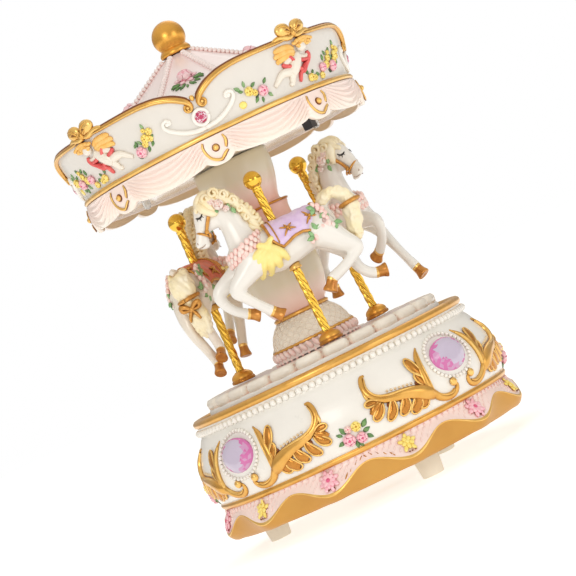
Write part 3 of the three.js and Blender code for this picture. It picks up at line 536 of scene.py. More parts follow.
def make_graded_materials():
    pink, pale = (0.84, 0.50, 0.42), (0.86, 0.66, 0.58)
    beige_shade, tan_shade = (0.72, 0.65, 0.50), (0.66, 0.57, 0.38)
    # On the column, pink is the blush paint near the rings; the browner colours between them and at the top
    # are painted shade from the canopy, darkest at the top.
    paint_by_height("column_glaze", [
        (71, pink), (77, pale), (84, beige_shade), (92, beige_shade), (99, pale), (106, pink), (114, pink), (119, pale),
        (125, beige_shade), (133, tan_shade)], 0.3)
    paint_by_height("roof_pink", [
        (149, (0.96, 0.82, 0.80)), (153, (0.96, 0.86, 0.84)), (160, (0.96, 0.89, 0.87)),
        (166, (0.96, 0.84, 0.83)), (176.6, (0.96, 0.78, 0.77))], 0.32)
    paint_by_height("skirt_pink", [
        (129.5, (0.92, 0.86, 0.76)), (131.8, (0.94, 0.82, 0.73)), (136, (0.95, 0.78, 0.71)),
        (140.4, (0.95, 0.80, 0.74))], 0.32)


make_materials()
make_graded_materials()

# ---------------------------------------------------------------- base
SKIRT_BOTTOM = bottom_of("base_casing")
RIM_TOP = top_of("base_casing")
CEILING_TOP = 48.5
CEILING = 3.0
GOLD_EDGE_TOP = 12.5
SKIRT_TOP = 18.9
SKIRT_INSIDE = 55
SKIRT_REFERENCE = 58
WAVES = 12
WAVE_HEIGHT = 2.9
WAVE_DEPTH = 1.1
WAVE_FADE = 6.0
LACE_COUNT = 132
LACE_ROWS = 4
LACE_TOP = 18.1
LACE_STEP = 1.25
LACE_BOTTOM = 13.6
RIM_PEARLS = 128
GEM_PEARLS = 36
WALL = [(57.2, 21.4), (58.1, 24), (58.9, 27), (59.1, 30), (58.9, 33), (58.3, 36), (57.4, 38.6),
        (56.6, 40.3), (55.2, 43), (53.9, 45.3)]
WALL_REFERENCE = 58.5
BASE_GEM_AZIMUTHS = [45, 135, -135, -45]


def skirt_wave(azimuth):
    """The height of the edge's wave at an azimuth, from -1 to 1."""
    return math.cos(math.radians(WAVES * (azimuth - PATTERN_YAW)))


def base_warp(radius, azimuth, height):
    """Waves of the skirt's edge: strongest at the gold edge, gone at its foot and at the bead band."""
    if height >= SKIRT_TOP or radius < SKIRT_INSIDE:
        return radius, height
    share = max(0.0, min(1.0, (SKIRT_TOP - height) / WAVE_FADE))
    if height < GOLD_EDGE_TOP:
        share = max(0.0, (height - SKIRT_BOTTOM) / (GOLD_EDGE_TOP - SKIRT_BOTTOM)) ** 0.7
    wave = skirt_wave(azimuth)
    return radius - WAVE_DEPTH * wave * share, height + WAVE_HEIGHT * wave * share


def build_base_shell():
    """The whole casing in one turned profile, from the underside up, over the rim and down inside."""
    shape = Shape()
    edge = [(53.6, SKIRT_BOTTOM), (56.6, SKIRT_BOTTOM), (57.6, SKIRT_BOTTOM + 0.5), (58.3, 9.4), (58.9, 11.2),
            (59.2, GOLD_EDGE_TOP)]
    skirt = [(59.5, 12.9), (59.55, 13.3), (59.2, 13.7), (58.5, 14.9), (57.7, 16.3), (56.9, 17.7),
             (56.5, SKIRT_TOP)]
    band = [(57.0, 19.1), (57.5, 19.7), (57.75, 20.3), (57.5, 20.9), (57.0, 21.4)]
    wall = rounded(WALL, 3) + [(53.4, 45.8), (53.1, 46.6), (53.3, 48.6), (53.1, 49.2)]
    rim = [(53.2, 49.7), (53.9, 50.1), (54.15, 50.9), (54.0, 51.8), (53.2, 52.5), (52.3, RIM_TOP),
           (51.5, 52.5), (51.0, 51.8)]
    recess = [(51.0, CEILING_TOP), (6.0, CEILING_TOP), (6.0, CEILING_TOP - CEILING),
              (50.2, CEILING_TOP - CEILING), (54.6, 37), (55, 30), (53.6, 20), (53.6, SKIRT_BOTTOM)]
    # The flat top under the deck and the wall of its middle hole are dark brown: painted shade under the
    # deck.
    paints = (
        ["gold_edge"] * len(edge) + ["gold_light"] * 2 + ["pink_lattice"] * (len(skirt) - 2)
        + ["gold_paint"] * len(band) + ["white_glaze"] * len(wall)
        + ["gold_paint"] * len(rim) + ["dark_recess"] * 2 + ["cream_glaze"] * (len(recess) - 3)
    )
    add_lathe(shape, edge + skirt + band + wall + rim + recess, paints, 288, base_warp)
    shape.piece("base_shell", "base", "white_resin", ["base_casing"])


def make_lattice_material():
    """The skirt's pink resin, pressed with fine slanting cells."""
    tree = paint("pink_lattice", (0.96, 0.77, 0.72), 0.36, coat=0.25, vary=0.03, wash_and_shade=BLUSH_SHADE, reach=0.7)
    place = tree.nodes.new("ShaderNodeTexCoord").outputs["Object"]
    slant = {"Vector": place, "Scale": (1, 1, 0.45), "Rotation": (0.5, 0.2, 0)}
    stretch = add_node(tree, "ShaderNodeMapping", slant)
    cells = add_node(tree, "ShaderNodeTexVoronoi", {"Vector": stretch.outputs["Vector"], "Scale": CELL_SCALE})
    cells.feature = "DISTANCE_TO_EDGE"
    pressed = {"Height": cells.outputs["Distance"], "Strength": 0.5, "Distance": CELL_DEPTH}
    relief = add_node(tree, "ShaderNodeBump", pressed)
    feed(tree, tree.nodes["Principled BSDF"], {"Normal": relief.outputs["Normal"]})


def add_lobe(shape, root, tip, width, bend=0.0):
    """One leaf finger of a scroll: a rounded lobe with a raised edge all round and a sunken middle. The
    middle is dark gold, painted shade, and the edge and a streak along the middle are light gold, painted
    highlights.
    """
    root, tip = np.asarray(root, float), np.asarray(tip, float)
    ahead = tip - root
    length = np.linalg.norm(ahead)
    ahead = ahead / length
    side = np.array([-ahead[1], ahead[0]])
    outline = []
    for i in range(15):
        angle = math.pi * (0.08 + 1.84 * i / 14)
        along = length * (0.5 - 0.5 * math.cos(angle))
        across = 0.5 * width * math.sin(angle) * (0.75 + 0.35 * along / length)
        sway = bend * math.sin(math.pi * along / length)
        point = root + ahead * along + side * (across + sway)
        outline.append((*point, 0.7, 0.4))
    middle = root + ahead * length * 0.5 + side * bend
    add_stroke(shape, [(*root, 0.3 * width), (*middle, 0.46 * width),
                       (*(tip - ahead * 0.2 * width), 0.42 * width)],
               "gold_dark", flatten=0.5)
    add_tube(shape, outline, "gold_light", sides=7)
    add_stroke(shape, [(*(root + ahead * length * 0.15 + side * bend * 0.7), 0.2), (*middle, 0.34),
                       (*(root + ahead * length * 0.8 + side * bend * 0.7), 0.2)], "gold_light", flatten=2.2,
                       sides=6)


# Strokes of a scroll: (paint, flattening, points of (across, up, radius)). The light-gold strokes are painted
# highlights along the stem and the leaf, and the dark-gold ones painted shade below them.
STEM_STROKES = [
    ("gold_paint", 0.6, [
        (12.1, 42.7, 0.35), (10.6, 42.1, 0.85), (9.7, 39.8, 1.1), (9.7, 37.2, 1.15), (11.0, 34.9, 1.25),
        (13.4, 33.0, 1.5), (17.5, 31.7, 1.8), (22, 30.9, 2.1), (26.4, 29.4, 2.6), (29.8, 27.6, 2.6),
        (32.2, 25.6, 1.4)]),
    ("gold_light", 2.8, [
        (11.4, 41.6, 0.3), (10.5, 38.8, 0.45), (11.0, 36.3, 0.5), (12.9, 34.3, 0.55), (16.4, 33.0, 0.55),
        (21.6, 32.4, 0.55), (26.4, 31.3, 0.55), (30.6, 29.3, 0.5)]),
    ("gold_dark", 3.6, [(12.6, 33.2, 0.3), (16.6, 31.9, 0.36), (21.6, 31.2, 0.36), (26.0, 30.0, 0.3)]),
    ("gold_light", 0.75, [(9.4, 39.6, 0.4), (8.9, 36.4, 0.65), (9.3, 33.8, 0.5)]),
    ("gold_dark", 0.75, [(12.4, 32.2, 1.1), (9.8, 31.0, 1.3), (8.2, 29.4, 0.9)]),
]
LEAF_STROKES = [
    ("gold_paint", 0.75, [
        (31.0, 26.6, 1.4), (31.0, 30.4, 1.5), (31.4, 34.4, 1.4), (32.1, 37.6, 1.2), (33.2, 40.4, 0.9),
        (35.6, 43.2, 0.3)]),
    ("gold_light", 2.6, [(32.2, 27.4, 0.45), (32.0, 31, 0.5), (32.4, 35, 0.5), (33.1, 38.4, 0.45),
                         (34.6, 41.6, 0.3)]),
    ("gold_paint", 0.75, [
        (30.6, 28.4, 1.3), (32.0, 26.4, 1.45), (34.0, 24.4, 1.3), (36.4, 23.2, 1.15), (39.2, 22.8, 1.1),
        (41.8, 23.7, 1.0), (42.8, 25.4, 0.85), (42.0, 26.8, 0.6)]),
    ("gold_light", 2.4, [(32.8, 26.9, 0.4), (34.8, 25.0, 0.45), (37.0, 24.1, 0.45), (39.4, 23.9, 0.45),
                         (41.2, 24.6, 0.35)]),
]
# Lobes of a scroll: (root, tip, width, bend)
STEM_LOBES = [((28.8, 28.2), (25.7, 23.9), 3.3, 0.5), ((26.2, 29.6), (21.8, 23.6), 4.0, 0.9),
              ((21.6, 30.8), (17.8, 24.7), 3.7, 0.8), ((16.8, 31.2), (12.9, 25.0), 3.2, 0.7),
              ((12.9, 31.8), (8.2, 27.2), 3.2, 0.5), ((12.0, 32.6), (7.2, 33.2), 2.4, -0.2)]
LEAF_LOBES = [((30.8, 33.6), (28.2, 41.2), 3.4, 0.3), ((30.8, 29.8), (28.2, 35.4), 2.7, 0.3)]


def add_scroll(shape):
    """The acanthus scroll right of a bouquet, in relief: a stem with lobes, and a tall leaf on a hook."""
    for paint_name, flatten, points in STEM_STROKES:
        add_stroke(shape, points, paint_name, flatten=flatten)
    for root, tip, width, bend in STEM_LOBES:
        add_lobe(shape, root, tip, width, bend)
    for u, z in ((14.9, 29.9), (19.6, 29.4), (24.2, 28.6)):
        add_ball(shape, (u, z, 0.35), (0.8, 1.0, 0.45), "gold_shadow", columns=10, rows=5)
    for paint_name, flatten, points in LEAF_STROKES:
        add_stroke(shape, points, paint_name, flatten=flatten)
    for root, tip, width, bend in LEAF_LOBES:
        add_lobe(shape, root, tip, width, bend)
    add_ball(shape, (41.2, 27.1, 0.7), (1.45, 1.45, 1.2), "gold_light", columns=14, rows=8)
    add_ball(shape, (27.6, 32.4, 0.3), (0.9, 0.8, 0.4), "gold_shadow", columns=10, rows=5)
    for i in range(7):
        along = 1.5 * i
        add_ball(shape, (16.6 + along, 34.5 - 0.16 * along, 0.2), 0.5, "gold_bead", columns=9, rows=6)


def mirrored(shape):
    """A copy of flat relief, mirrored across."""
    other = Shape()
    other.merge(shape, lambda verts: verts * np.array([-1, 1, 1]))
    other.faces = [tuple(reversed(face)) for face in other.faces]
    return other


BOUQUET_LEAVES = [(-2.6, 27.4, 3.2, 118), (3.4, 27.2, 3.4, 42), (3.0, 25.6, 3.0, 12), (-4.2, 25.2, 2.8, 196),
                  (3.6, 24.2, 2.8, -38), (-0.4, 23.8, 2.8, -96), (-4.0, 27.2, 2.4, 150),
                  (0.2, 22.9, 2.2, -60)]


def add_blooms(shape, way, blooms, paint, heart):
    """Roses at (across, height, radius); way mirrors them to the left."""
    for u, z, radius in blooms:
        add_rose(shape, way * u, z, radius, paint, heart)


def add_leaves(shape, leaves, paint="leaf_green", way=1, width=0.34, lift=0.6):
    """Leaves at (across, height, length, angle), with a paint of their own if they name one."""
    for u, z, length, angle, *own in leaves:
        add_leaf(shape, way * u, z, length, angle if way > 0 else 180 - angle, *(own or [paint]), width, lift)


def add_bouquet(shape):
    """Two pink roses, a yellow one and a bud among leaves."""
    add_leaves(shape, BOUQUET_LEAVES, lift=0.7)
    add_blooms(shape, 1, [(-2.5, 25.1, 2.5), (1.9, 24.2, 2.2)], "rose_pink", "rose_heart")
    add_rose(shape, -1.4, 28.6, 1.5, "blossom_pink", "rose_heart")
    add_rose(shape, 1.5, 28.4, 2.0, "flower_yellow", "flower_heart")


def build_base_ornaments():
    """Four bays round the wall, each a bouquet between two mirrored scrolls."""
    scrolls, bouquets = Shape(), Shape()
    right, bouquet = Shape(), Shape()
    add_scroll(right)
    left = mirrored(right)
    add_bouquet(bouquet)
    for yaw in BAY_YAWS:
        wrap = wall_mapper(WALL, yaw, WALL_REFERENCE)
        scrolls.merge(left, wrap)
        scrolls.merge(right, wrap)
        bouquets.merge(bouquet, wrap)
    scrolls.piece("base_scrolls", "base", "gold_paint")
    bouquets.piece("base_bouquets", "base", "white_resin")


SKIRT_FACE = [(60.3, 10.8), (59.5, 12.9), (58.2, 14.9), (57.2, 16.8), (56.5, 18.9)]


def add_skirt_flower(shape, z, width, height, paint, heart, petals):
    """A full flower in low relief: a ring of long petals, a shorter ring over it and a heart."""
    for ring, (count, reach, rise) in enumerate(((petals, 0.60, 0.45), (petals, 0.36, 0.85))):
        for i in range(count):
            angle = 2 * math.pi * (i + 0.5 * ring) / count + 0.2
            across = np.array([math.cos(angle), math.sin(angle), 0])
            turn = np.stack([across, [-across[1], across[0], 0], OUT], 1)
            size = np.array([0.42 - 0.08 * ring, 0.22, 0.0]) * width
            centre = np.array([width * reach * across[0], z + height * reach * across[1], rise])
            add_ball(shape, centre, (size[0] * height / width, size[1], 0.42), paint, turn, 8, 5)
    add_ball(shape, (0, z, 1.15), (0.2 * width, 0.2 * width, 0.4), heart, columns=8, rows=5)


def build_skirt_flowers():
    """Yellow and pink flowers in turn, one over each dip of the edge, with three gold seeds below it."""
    shape = Shape()
    for i in range(WAVES):
        flower = Shape()
        if i % 2 == 0:
            add_skirt_flower(flower, 15.3, 3.5, 3.5, "flower_yellow", "flower_yellow", 5)
        else:
            add_skirt_flower(flower, 15.1, 3.9, 3.9, "rose_pink", "rose_heart", 8)
        for u in (-1.0, 0.0, 1.2):
            add_ball(flower, (u, 12.3, 0.5), (0.42, 0.3, 0.25), "gold_shadow", columns=6, rows=4)
        azimuth = PATTERN_YAW + 15 + 30 * i
        shape.merge(flower, wall_mapper(SKIRT_FACE, azimuth, SKIRT_REFERENCE))
    shape.piece("skirt_flowers", "base", "pink_resin")


def build_skirt_strokes():
    """Short slanting strokes pressed all over the pink skirt, like lace."""
    shape = Shape()
    turn = np.stack([[0.5, 0.87, 0], [-0.87, 0.5, 0], OUT], 1)
    for row in range(LACE_ROWS):
        for i in range(LACE_COUNT):
            azimuth = 360 * (i + 0.5 * (row % 2)) / LACE_COUNT
            height = LACE_TOP - LACE_STEP * row
            if height < LACE_BOTTOM + WAVE_HEIGHT * skirt_wave(azimuth):
                continue
            stroke = Shape()
            add_ball(stroke, (0, height, 0.05), (0.95, 0.26, 0.4), "pink_lattice", turn, 6, 4)
            shape.merge(stroke, wall_mapper(SKIRT_FACE, azimuth, SKIRT_REFERENCE))
    shape.piece("skirt_strokes", "base", "pink_resin")


def build_skirt_stitches():
    """Nine gold stitches along the edge, under the front bouquet."""
    stitches, bay = Shape(), Shape()
    for i in range(9):
        across = -8.6 + 2.15 * i
        slant = 0.9 if i < 4 else -0.7
        height = 14.9 + 2.5 * math.cos(across / SKIRT_REFERENCE * WAVES)
        rows = [(across - slant, height - 0.9, 0.16), (across, height, 0.3),
                (across + slant, height + 1.1, 0.12)]
        add_stroke(bay, rows, "gold_dark", flatten=1.2, sides=6)
    stitches.merge(bay, wall_mapper(SKIRT_FACE, PATTERN_YAW, SKIRT_REFERENCE))
    stitches.piece("skirt_stitches", "base", "gold_paint")


def build_base_pearls():
    """A string of pearls under the rim, and an oval of smaller ones round each stone."""
    shape = Shape()
    for i in range(RIM_PEARLS):
        azimuth = 360 * i / RIM_PEARLS
        add_ball(shape, polar(53.5, azimuth, 47.8), 1.3, "pearl_white", columns=9, rows=7)
    ring = Shape()
    for i in range(GEM_PEARLS):
        angle = 2 * math.pi * i / GEM_PEARLS
        centre = (10.2 * math.cos(angle), 36.2 + 8.1 * math.sin(angle), 0.35)
        add_ball(ring, centre, 0.78, "pearl_white", columns=7, rows=5)
    for azimuth in BASE_GEM_AZIMUTHS:
        shape.merge(ring, wall_mapper(WALL, azimuth + PATTERN_YAW, WALL_REFERENCE))
    shape.piece("base_pearls", "base", "white_resin")


def outward_frame(azimuth, tilt):
    """Columns: across, up and outwards, for a surface facing an azimuth and tilted upwards."""
    angle, lean = math.radians(azimuth), math.radians(tilt)
    across = np.array([math.cos(angle), math.sin(angle), 0])
    flat_out = np.array([math.sin(angle), -math.cos(angle), 0])
    out = flat_out * math.cos(lean) + np.array([0, 0, math.sin(lean)])
    return np.stack([across, np.cross(out, across), out], 1)


def add_cut_gem(shape, half_width, half_height, facets, levels, colour_of):
    """A faceted stone: rings of (share of the half sizes, level), each turned half a facet."""
    verts = []
    for row, (share, level) in enumerate(levels):
        for j in range(facets):
            angle = 2 * math.pi * (j + 0.5 * (row % 2)) / facets
            verts.append([half_width * share * math.cos(angle), half_height * share * math.sin(angle), level])
    faces, colours = [], []
    for i in range(len(levels) - 1):
        for j in range(facets):
            k = (j + 1) % facets
            a, b, c, d = i * facets + j, i * facets + k, (i + 1) * facets + j, (i + 1) * facets + k
            faces += [(a, b, c), (b, d, c)] if i % 2 == 0 else [(a, b, d), (a, d, c)]
            colours += [colour_of(i, 360 * (j + 0.3) / facets), colour_of(i, 360 * (j + 0.7) / facets)]
    faces.append(tuple(range(facets))[::-1])
    faces.append(tuple((len(levels) - 1) * facets + j for j in range(facets)))
    colours += [colour_of(0, 0), colour_of(len(levels), 0)]
    shape.add(verts, faces, colours, flat=True)


def base_gem_colour(ring, angle, reflection_side):
    """The colour of a facet in a ring, at an angle; the last argument is the angle of the side painted
    darkest in magenta, as painted reflection and shade.
    """
    away = abs((angle - reflection_side + 180) % 360 - 180)
    if ring < 3:
        return "magenta_cut"
    if away < 42 - 5 * (ring - 3):
        return "magenta_cut" if (ring + int(angle / 11)) % 3 else "orchid_cut"
    if away < 62 and ring < 5:
        return "orchid_cut"
    if ring == 3 and int(angle / 23) % 4 == 1:
        return "magenta_cut"
    return "lilac_cut"


def build_base_gems():
    """Big oval stones: a pale table, a thin magenta girdle, and magenta facets low on the bouquet's side as
    painted reflection and shade.
    """
    levels = [(0.5, -1.0), (0.98, -0.6), (1.0, 0.3), (0.93, 0.9), (0.8, 1.5), (0.66, 1.95), (0.52, 2.2),
              (0.4, 2.3)]
    for i, azimuth in enumerate(BASE_GEM_AZIMUTHS):
        reflection_side = -32 if i % 2 else -148
        node = f"base_gem_{i + 1}"
        cut, stone = Shape(), Shape()
        add_cut_gem(cut, 8.5, 6.4, 22, levels, lambda ring, angle: base_gem_colour(ring, angle, reflection_side))
        turn = outward_frame(azimuth + PATTERN_YAW, 6)
        seat = centre_of(node) - turn @ np.array([0, 0, 0.7])
        stone.merge(cut, moved(turn, seat))
        stone.piece(f"{node}_cut", "base", "purple_gem", [node])


def build_feet():
    """Three slightly flared cream feet."""
    profile = [(0.01, 0), (3.4, 0), (3.9, 0.15), (4.1, 0.6), (4.95, 8.1), (4.6, 8.5), (0.01, 8.5)]
    moulding = Shape()
    add_lathe(moulding, profile, "foot_cream", 40)
    for i in (1, 2, 3):
        low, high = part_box(f"foot_{i}")
        centre = np.array([(low.x + high.x) / 2, (low.y + high.y) / 2, 0]) / MM
        foot = Shape()
        foot.merge(moulding, moved(np.eye(3), centre))
        foot.piece(f"foot_{i}_moulded", "base", "cream_rubber", [f"foot_{i}"])


make_lattice_material()
build_base_shell()
build_base_ornaments()
build_skirt_flowers()
build_skirt_strokes()
build_skirt_stitches()
build_base_pearls()
build_base_gems()
build_feet()

# ---------------------------------------------------------------- deck and column
TILE_COUNT = 26
TILE_STEPS = 24
TILE_RADIUS = 44.9
FOOT_BEADS = 40


def add_net(shape, profile, count, thickness, paint):
    """A raised diamond net: thin ribs crossing on a wall of revolution, both ways round."""
    heights = [z for _, z in profile]
    radii = [radius for radius, _ in profile]
    levels = np.linspace(heights[0], heights[-1], 14)
    for way in SIDES:
        for i in range(count):
            rows = []
            for step, z in enumerate(levels):
                azimuth = 360 * i / count + way * step * 4.2
                rows.append((*polar(np.interp(z, heights, radii), azimuth, z), thickness))
            add_tube(shape, rows, paint, sides=6)


def build_deck():
    """A white-edged disc with a scalloped bed of cream tiles and a pink top."""
    shape = Shape()
    disc = [(1.9, 50.3), (46.0, 50.3), (46.4, 50.8), (46.6, 52.0), (46.4, 53.4), (45.8, 54.0), (44.0, 54.1),
            (1.9, 54.1), (1.9, 50.3)]
    paints = ["cream_glaze"] + ["white_glaze"] * 4 + ["blush_glaze"] + ["pink_glaze"] * 2
    add_lathe(shape, disc, paints, 144)
    add_tiles(shape, top_of("deck"))
    shape.piece("deck_tiles", "carousel", "cream_resin", ["deck"])


def add_tiles(shape, top):
    """The bed of tiles: rows round the deck, notched and sunk at each joint, and the flat top inside."""
    count = TILE_COUNT * TILE_STEPS
    rows = [(-0.1, 53.5, 0), (0.2, 53.9, 0), (0.45, 55.0, 0), (0.5, 55.9, 0), (0.2, 56.7, 0),
            (-0.45, top + 0.1, 0), (-2.2, top + 0.25, 1), (-4.2, top + 0.05, 1), (-5.6, top - 0.1, 1)]
    inner = [(36.0, top - 0.1), (17.0, top - 0.1), (16.0, top - 0.1), (1.9, top - 0.1), (1.9, 53.9)]
    azimuths = [360 * j / count for j in range(count)]
    verts = []
    for push, height, inside in rows:
        for j, azimuth in enumerate(azimuths):
            share = (j % TILE_STEPS) / TILE_STEPS * 2 - 1
            notch = max(0.0, (abs(share) - 0.70) / 0.30)
            depth = 1.0 * notch**2 if inside else 2.0 * notch**1.7
            swell = 0.9 * (1 - share * share)
            sink = 0.9 * notch * (height > 56.2)
            verts.append(polar(TILE_RADIUS + swell + push - depth, azimuth, height - sink))
    verts += [polar(radius, azimuth, height) for radius, height in inner for azimuth in azimuths]
    paints = []
    for row in range(len(rows) + len(inner) - 1):
        for j in range(count):
            share = abs((j % TILE_STEPS + 0.5) / TILE_STEPS * 2 - 1)
            tile = "rose_shadow" if share > 0.95 and row == 4 else "cream_tile"
            paints.append("pink_glaze" if row >= 7 else tile)
    shape.add(verts, ring_faces(len(rows) + len(inner), count), paints)


def add_ring(shape, radius, height, thickness, tall, paint, segments=96, sides=10):
    """A round moulding: a ring of elliptical section about the axis."""
    verts, faces = [], []
    for j in range(segments):
        following = (j + 1) % segments
        for i in range(sides):
            angle = 2 * math.pi * i / sides
            reach, rise = radius + thickness * math.cos(angle), height + tall * math.sin(angle)
            verts.append(polar(reach, 360 * j / segments, rise))
            k = (i + 1) % sides
            faces.append((j * sides + i, following * sides + i, following * sides + k, j * sides + k))
    shape.add(verts, faces, paint)


BELL = [(15.9, 62.4), (15.2, 63.4), (14.6, 65.2), (13.6, 67.4), (12.1, 69.4), (10.6, 70.8), (10.2, 71.6)]
LOWER_VASE = [(9.9, 72.6), (10.6, 73.8), (11.7, 75.6), (13.2, 79.2), (14.2, 83.4), (14.7, 87.4),
              (14.55, 90.4), (13.8, 94.2), (12.8, 97.4), (12.7, 100.6), (13.1, 104.6), (12.85, 107.4),
              (12.9, 109.6), (13.3, 111.4)]
UPPER_VASE = [(12.9, 112.6), (11.3, 113.2), (11.4, 115.2), (12.5, 118.6), (13.4, 121.6), (14.2, 125.4),
              (14.55, 128.6), (14.55, 132.9)]


def build_column():
    """The turned column: a foot, a bell under a raised net, and two vases."""
    shape = Shape()
    low = bottom_of("column")
    foot = [(2.0, low), (16.6, low), (16.9, low + 0.3), (16.6, 58.2), (16.0, 59.0), (15.8, 60.5),
            (15.9, 61.4), (16.0, 62.0)]
    bell = rounded(BELL, 3)
    vases = rounded(LOWER_VASE, 3) + rounded(UPPER_VASE, 3)
    paints = (["blush_glaze"] * len(foot) + ["lattice_cream"] * (len(bell) - 1)
              + ["column_glaze"] * (len(vases) + 1) + ["blush_glaze"])
    add_lathe(shape, foot + bell + vases + [(2.0, 133.0), (2.0, low)], paints)
    add_net(shape, bell, 24, 0.3, "lattice_cream")
    shape.piece("column_turned", "carousel", "pink_resin", ["column"])


# ---------------------------------------------------------------- poles
POLE_AZIMUTHS = [9.1, 129.1, -110.9]
POLE_ORBIT = 32.5
POLE_LEAN = 3.0
DECK_TOP = top_of("pole_socket_1") - 4.5


def pole_place(azimuth):
    """From a pole's own frame (forward, outwards, up from the deck) to the object's."""
    def place(verts):
        lean = math.radians(POLE_LEAN)
        x, y, z = verts.T
        outward = y * math.cos(lean) - z * math.sin(lean) + POLE_ORBIT
        up = y * math.sin(lean) + z * math.cos(lean) + DECK_TOP
        turn = math.radians(azimuth + 180)
        return np.stack([x * math.cos(turn) - outward * math.sin(turn),
                         x * math.sin(turn) + outward * math.cos(turn), up], 1)
    return place


def build_column_trims():
    """Three gold rings, and two rows of pink beads round the foot."""
    trims = Shape()
    add_ring(trims, 15.7, 62.0, 0.75, 0.62, "gold_paint")
    add_ring(trims, 10.1, 72.1, 0.85, 0.8, "gold_paint")
    add_ring(trims, 13.2, 112.2, 0.8, 0.5, "gold_dark")
    trims.piece("column_gold_rings", "carousel", "gold_paint")

    beads = Shape()
    slant = np.array([[0.87, -0.5, 0], [0.5, 0.87, 0], [0, 0, 1.0]])
    for i in range(FOOT_BEADS):
        azimuth = 360 * i / FOOT_BEADS
        turn = outward_frame(azimuth, 0) @ slant
        add_ball(beads, polar(16.2, azimuth, 60.1), (1.0, 1.95, 1.1), "bead_pink", turn, 9, 6)
        add_ball(beads, polar(16.7, azimuth + 4.5, 57.7), 0.6, "bead_pink", None, 7, 5)
    beads.piece("column_beads", "carousel", "pink_resin")


def twisted_rod():
    """A six-lobed brass rod, twisted along its length."""
    rod = Shape()
    rows = [(0, 0, z, 1.42) for z in np.linspace(0.8, 120.5 - DECK_TOP, 170)]
    add_tube(rod, rows, "bright_brass", sides=36, twist=0.105, lobes=6, lobe=0.15)
    return rod


def socket_dome():
    """The ringed gold dome at a pole's foot."""
    dome = Shape()
    profile = rounded([(1.85, 0.45), (4.3, 0.4), (4.62, 0.8), (4.55, 1.4), (4.2, 1.7), (4.25, 2.2),
                       (3.9, 3.1), (3.2, 3.8), (2.5, 4.15), (2.2, 4.5), (1.85, 4.5)], 2)
    paints = ["gold_dark"] * 9 + ["gold_ball"] * (len(profile) - 9)
    add_lathe(dome, profile + [(1.85, 0.45)], paints, 40)
    return dome


def pole_ball():
    """The brass ball on a short neck."""
    ball = Shape()
    height, radius = 121.7 - DECK_TOP, 3.4
    sphere = [(radius * math.cos(a), height + radius * math.sin(a)) for a in np.radians(np.arange(-58, 91,
                                                                                                  7.4))]
    neck = [(1.62, height - 4.4), (1.78, height - 4.1), (1.7, height - 3.4)]
    add_lathe(ball, neck + sphere + [(0.01, height + radius)], "bright_brass", 40)
    return ball


def build_poles():
    """At each of the three places: a rod, its socket's dome and the ball on top."""
    fittings = (("pole_{}", "twisted", "brass", twisted_rod()),
                ("pole_socket_{}", "dome", "gold_paint", socket_dome()),
                ("pole_ball_{}", "turned", "brass", pole_ball()))
    for i, azimuth in enumerate(POLE_AZIMUTHS):
        for pattern, look, slot, part in fittings:
            node = pattern.format(i + 1)
            fitting = Shape()
            fitting.merge(part, pole_place(azimuth))
            fitting.piece(f"{node}_{look}", "carousel", slot, [node])


# ---------------------------------------------------------------- canopy
CROWN_WALL = [(53.1, 142.4), (54.15, 146.5), (55.25, 151), (56.4, 156), (57.2, 160.3), (57.6, 163),
              (57.8, 167)]
CROWN_REFERENCE = 56
EDGE_HEIGHT = 160.3
EDGE_DIP = 4.6
EDGE_DIP_WIDTH = 15
DRAPE_TOP = 140.2
ROOF_FOOT, ROOF_HEAD = (49.6, 150.3), (5.5, 176.1)
ROOF_RIBS = 8


def from_bay(azimuth):
    """Degrees from the nearest bay centre, with its sign."""
    return (azimuth - PATTERN_YAW + 45) % 90 - 45


def edge_height(azimuth):
    """The crown's top edge: level, dipping to a cusp where two volutes meet."""
    away = abs(from_bay(azimuth))
    if away >= EDGE_DIP_WIDTH:
        return EDGE_HEIGHT
    return EDGE_HEIGHT - EDGE_DIP * math.cos(math.pi / 2 * away / EDGE_DIP_WIDTH) ** 1.6


def repeat_on_crown(shape, part, offset=0.0):
    """Wraps flat relief round the crown once in every bay, offset degrees from the bay's centre."""
    for yaw in BAY_YAWS:
        shape.merge(part, wall_mapper(CROWN_WALL, yaw + offset, CROWN_REFERENCE))


def canopy_warp(radius, azimuth, height):
    """Dips the crown's edge over the bays, and raises the roof a little along its ribs."""
    if radius > 53.6 and height > 154:
        drop = EDGE_HEIGHT - edge_height(azimuth)
        share = min(1.0, (height - 154.0) / 6.0)
        return radius - 0.22 * drop * share, height - drop * share
    if 5 < radius < 53 and height > 150:
        turned = (azimuth - PATTERN_YAW - 22.5) % 45 - 22.5
        crease = math.exp(-((turned * radius / 57.3) / 2.2) ** 2)
        return radius, height + 0.35 * crease
    return radius, height


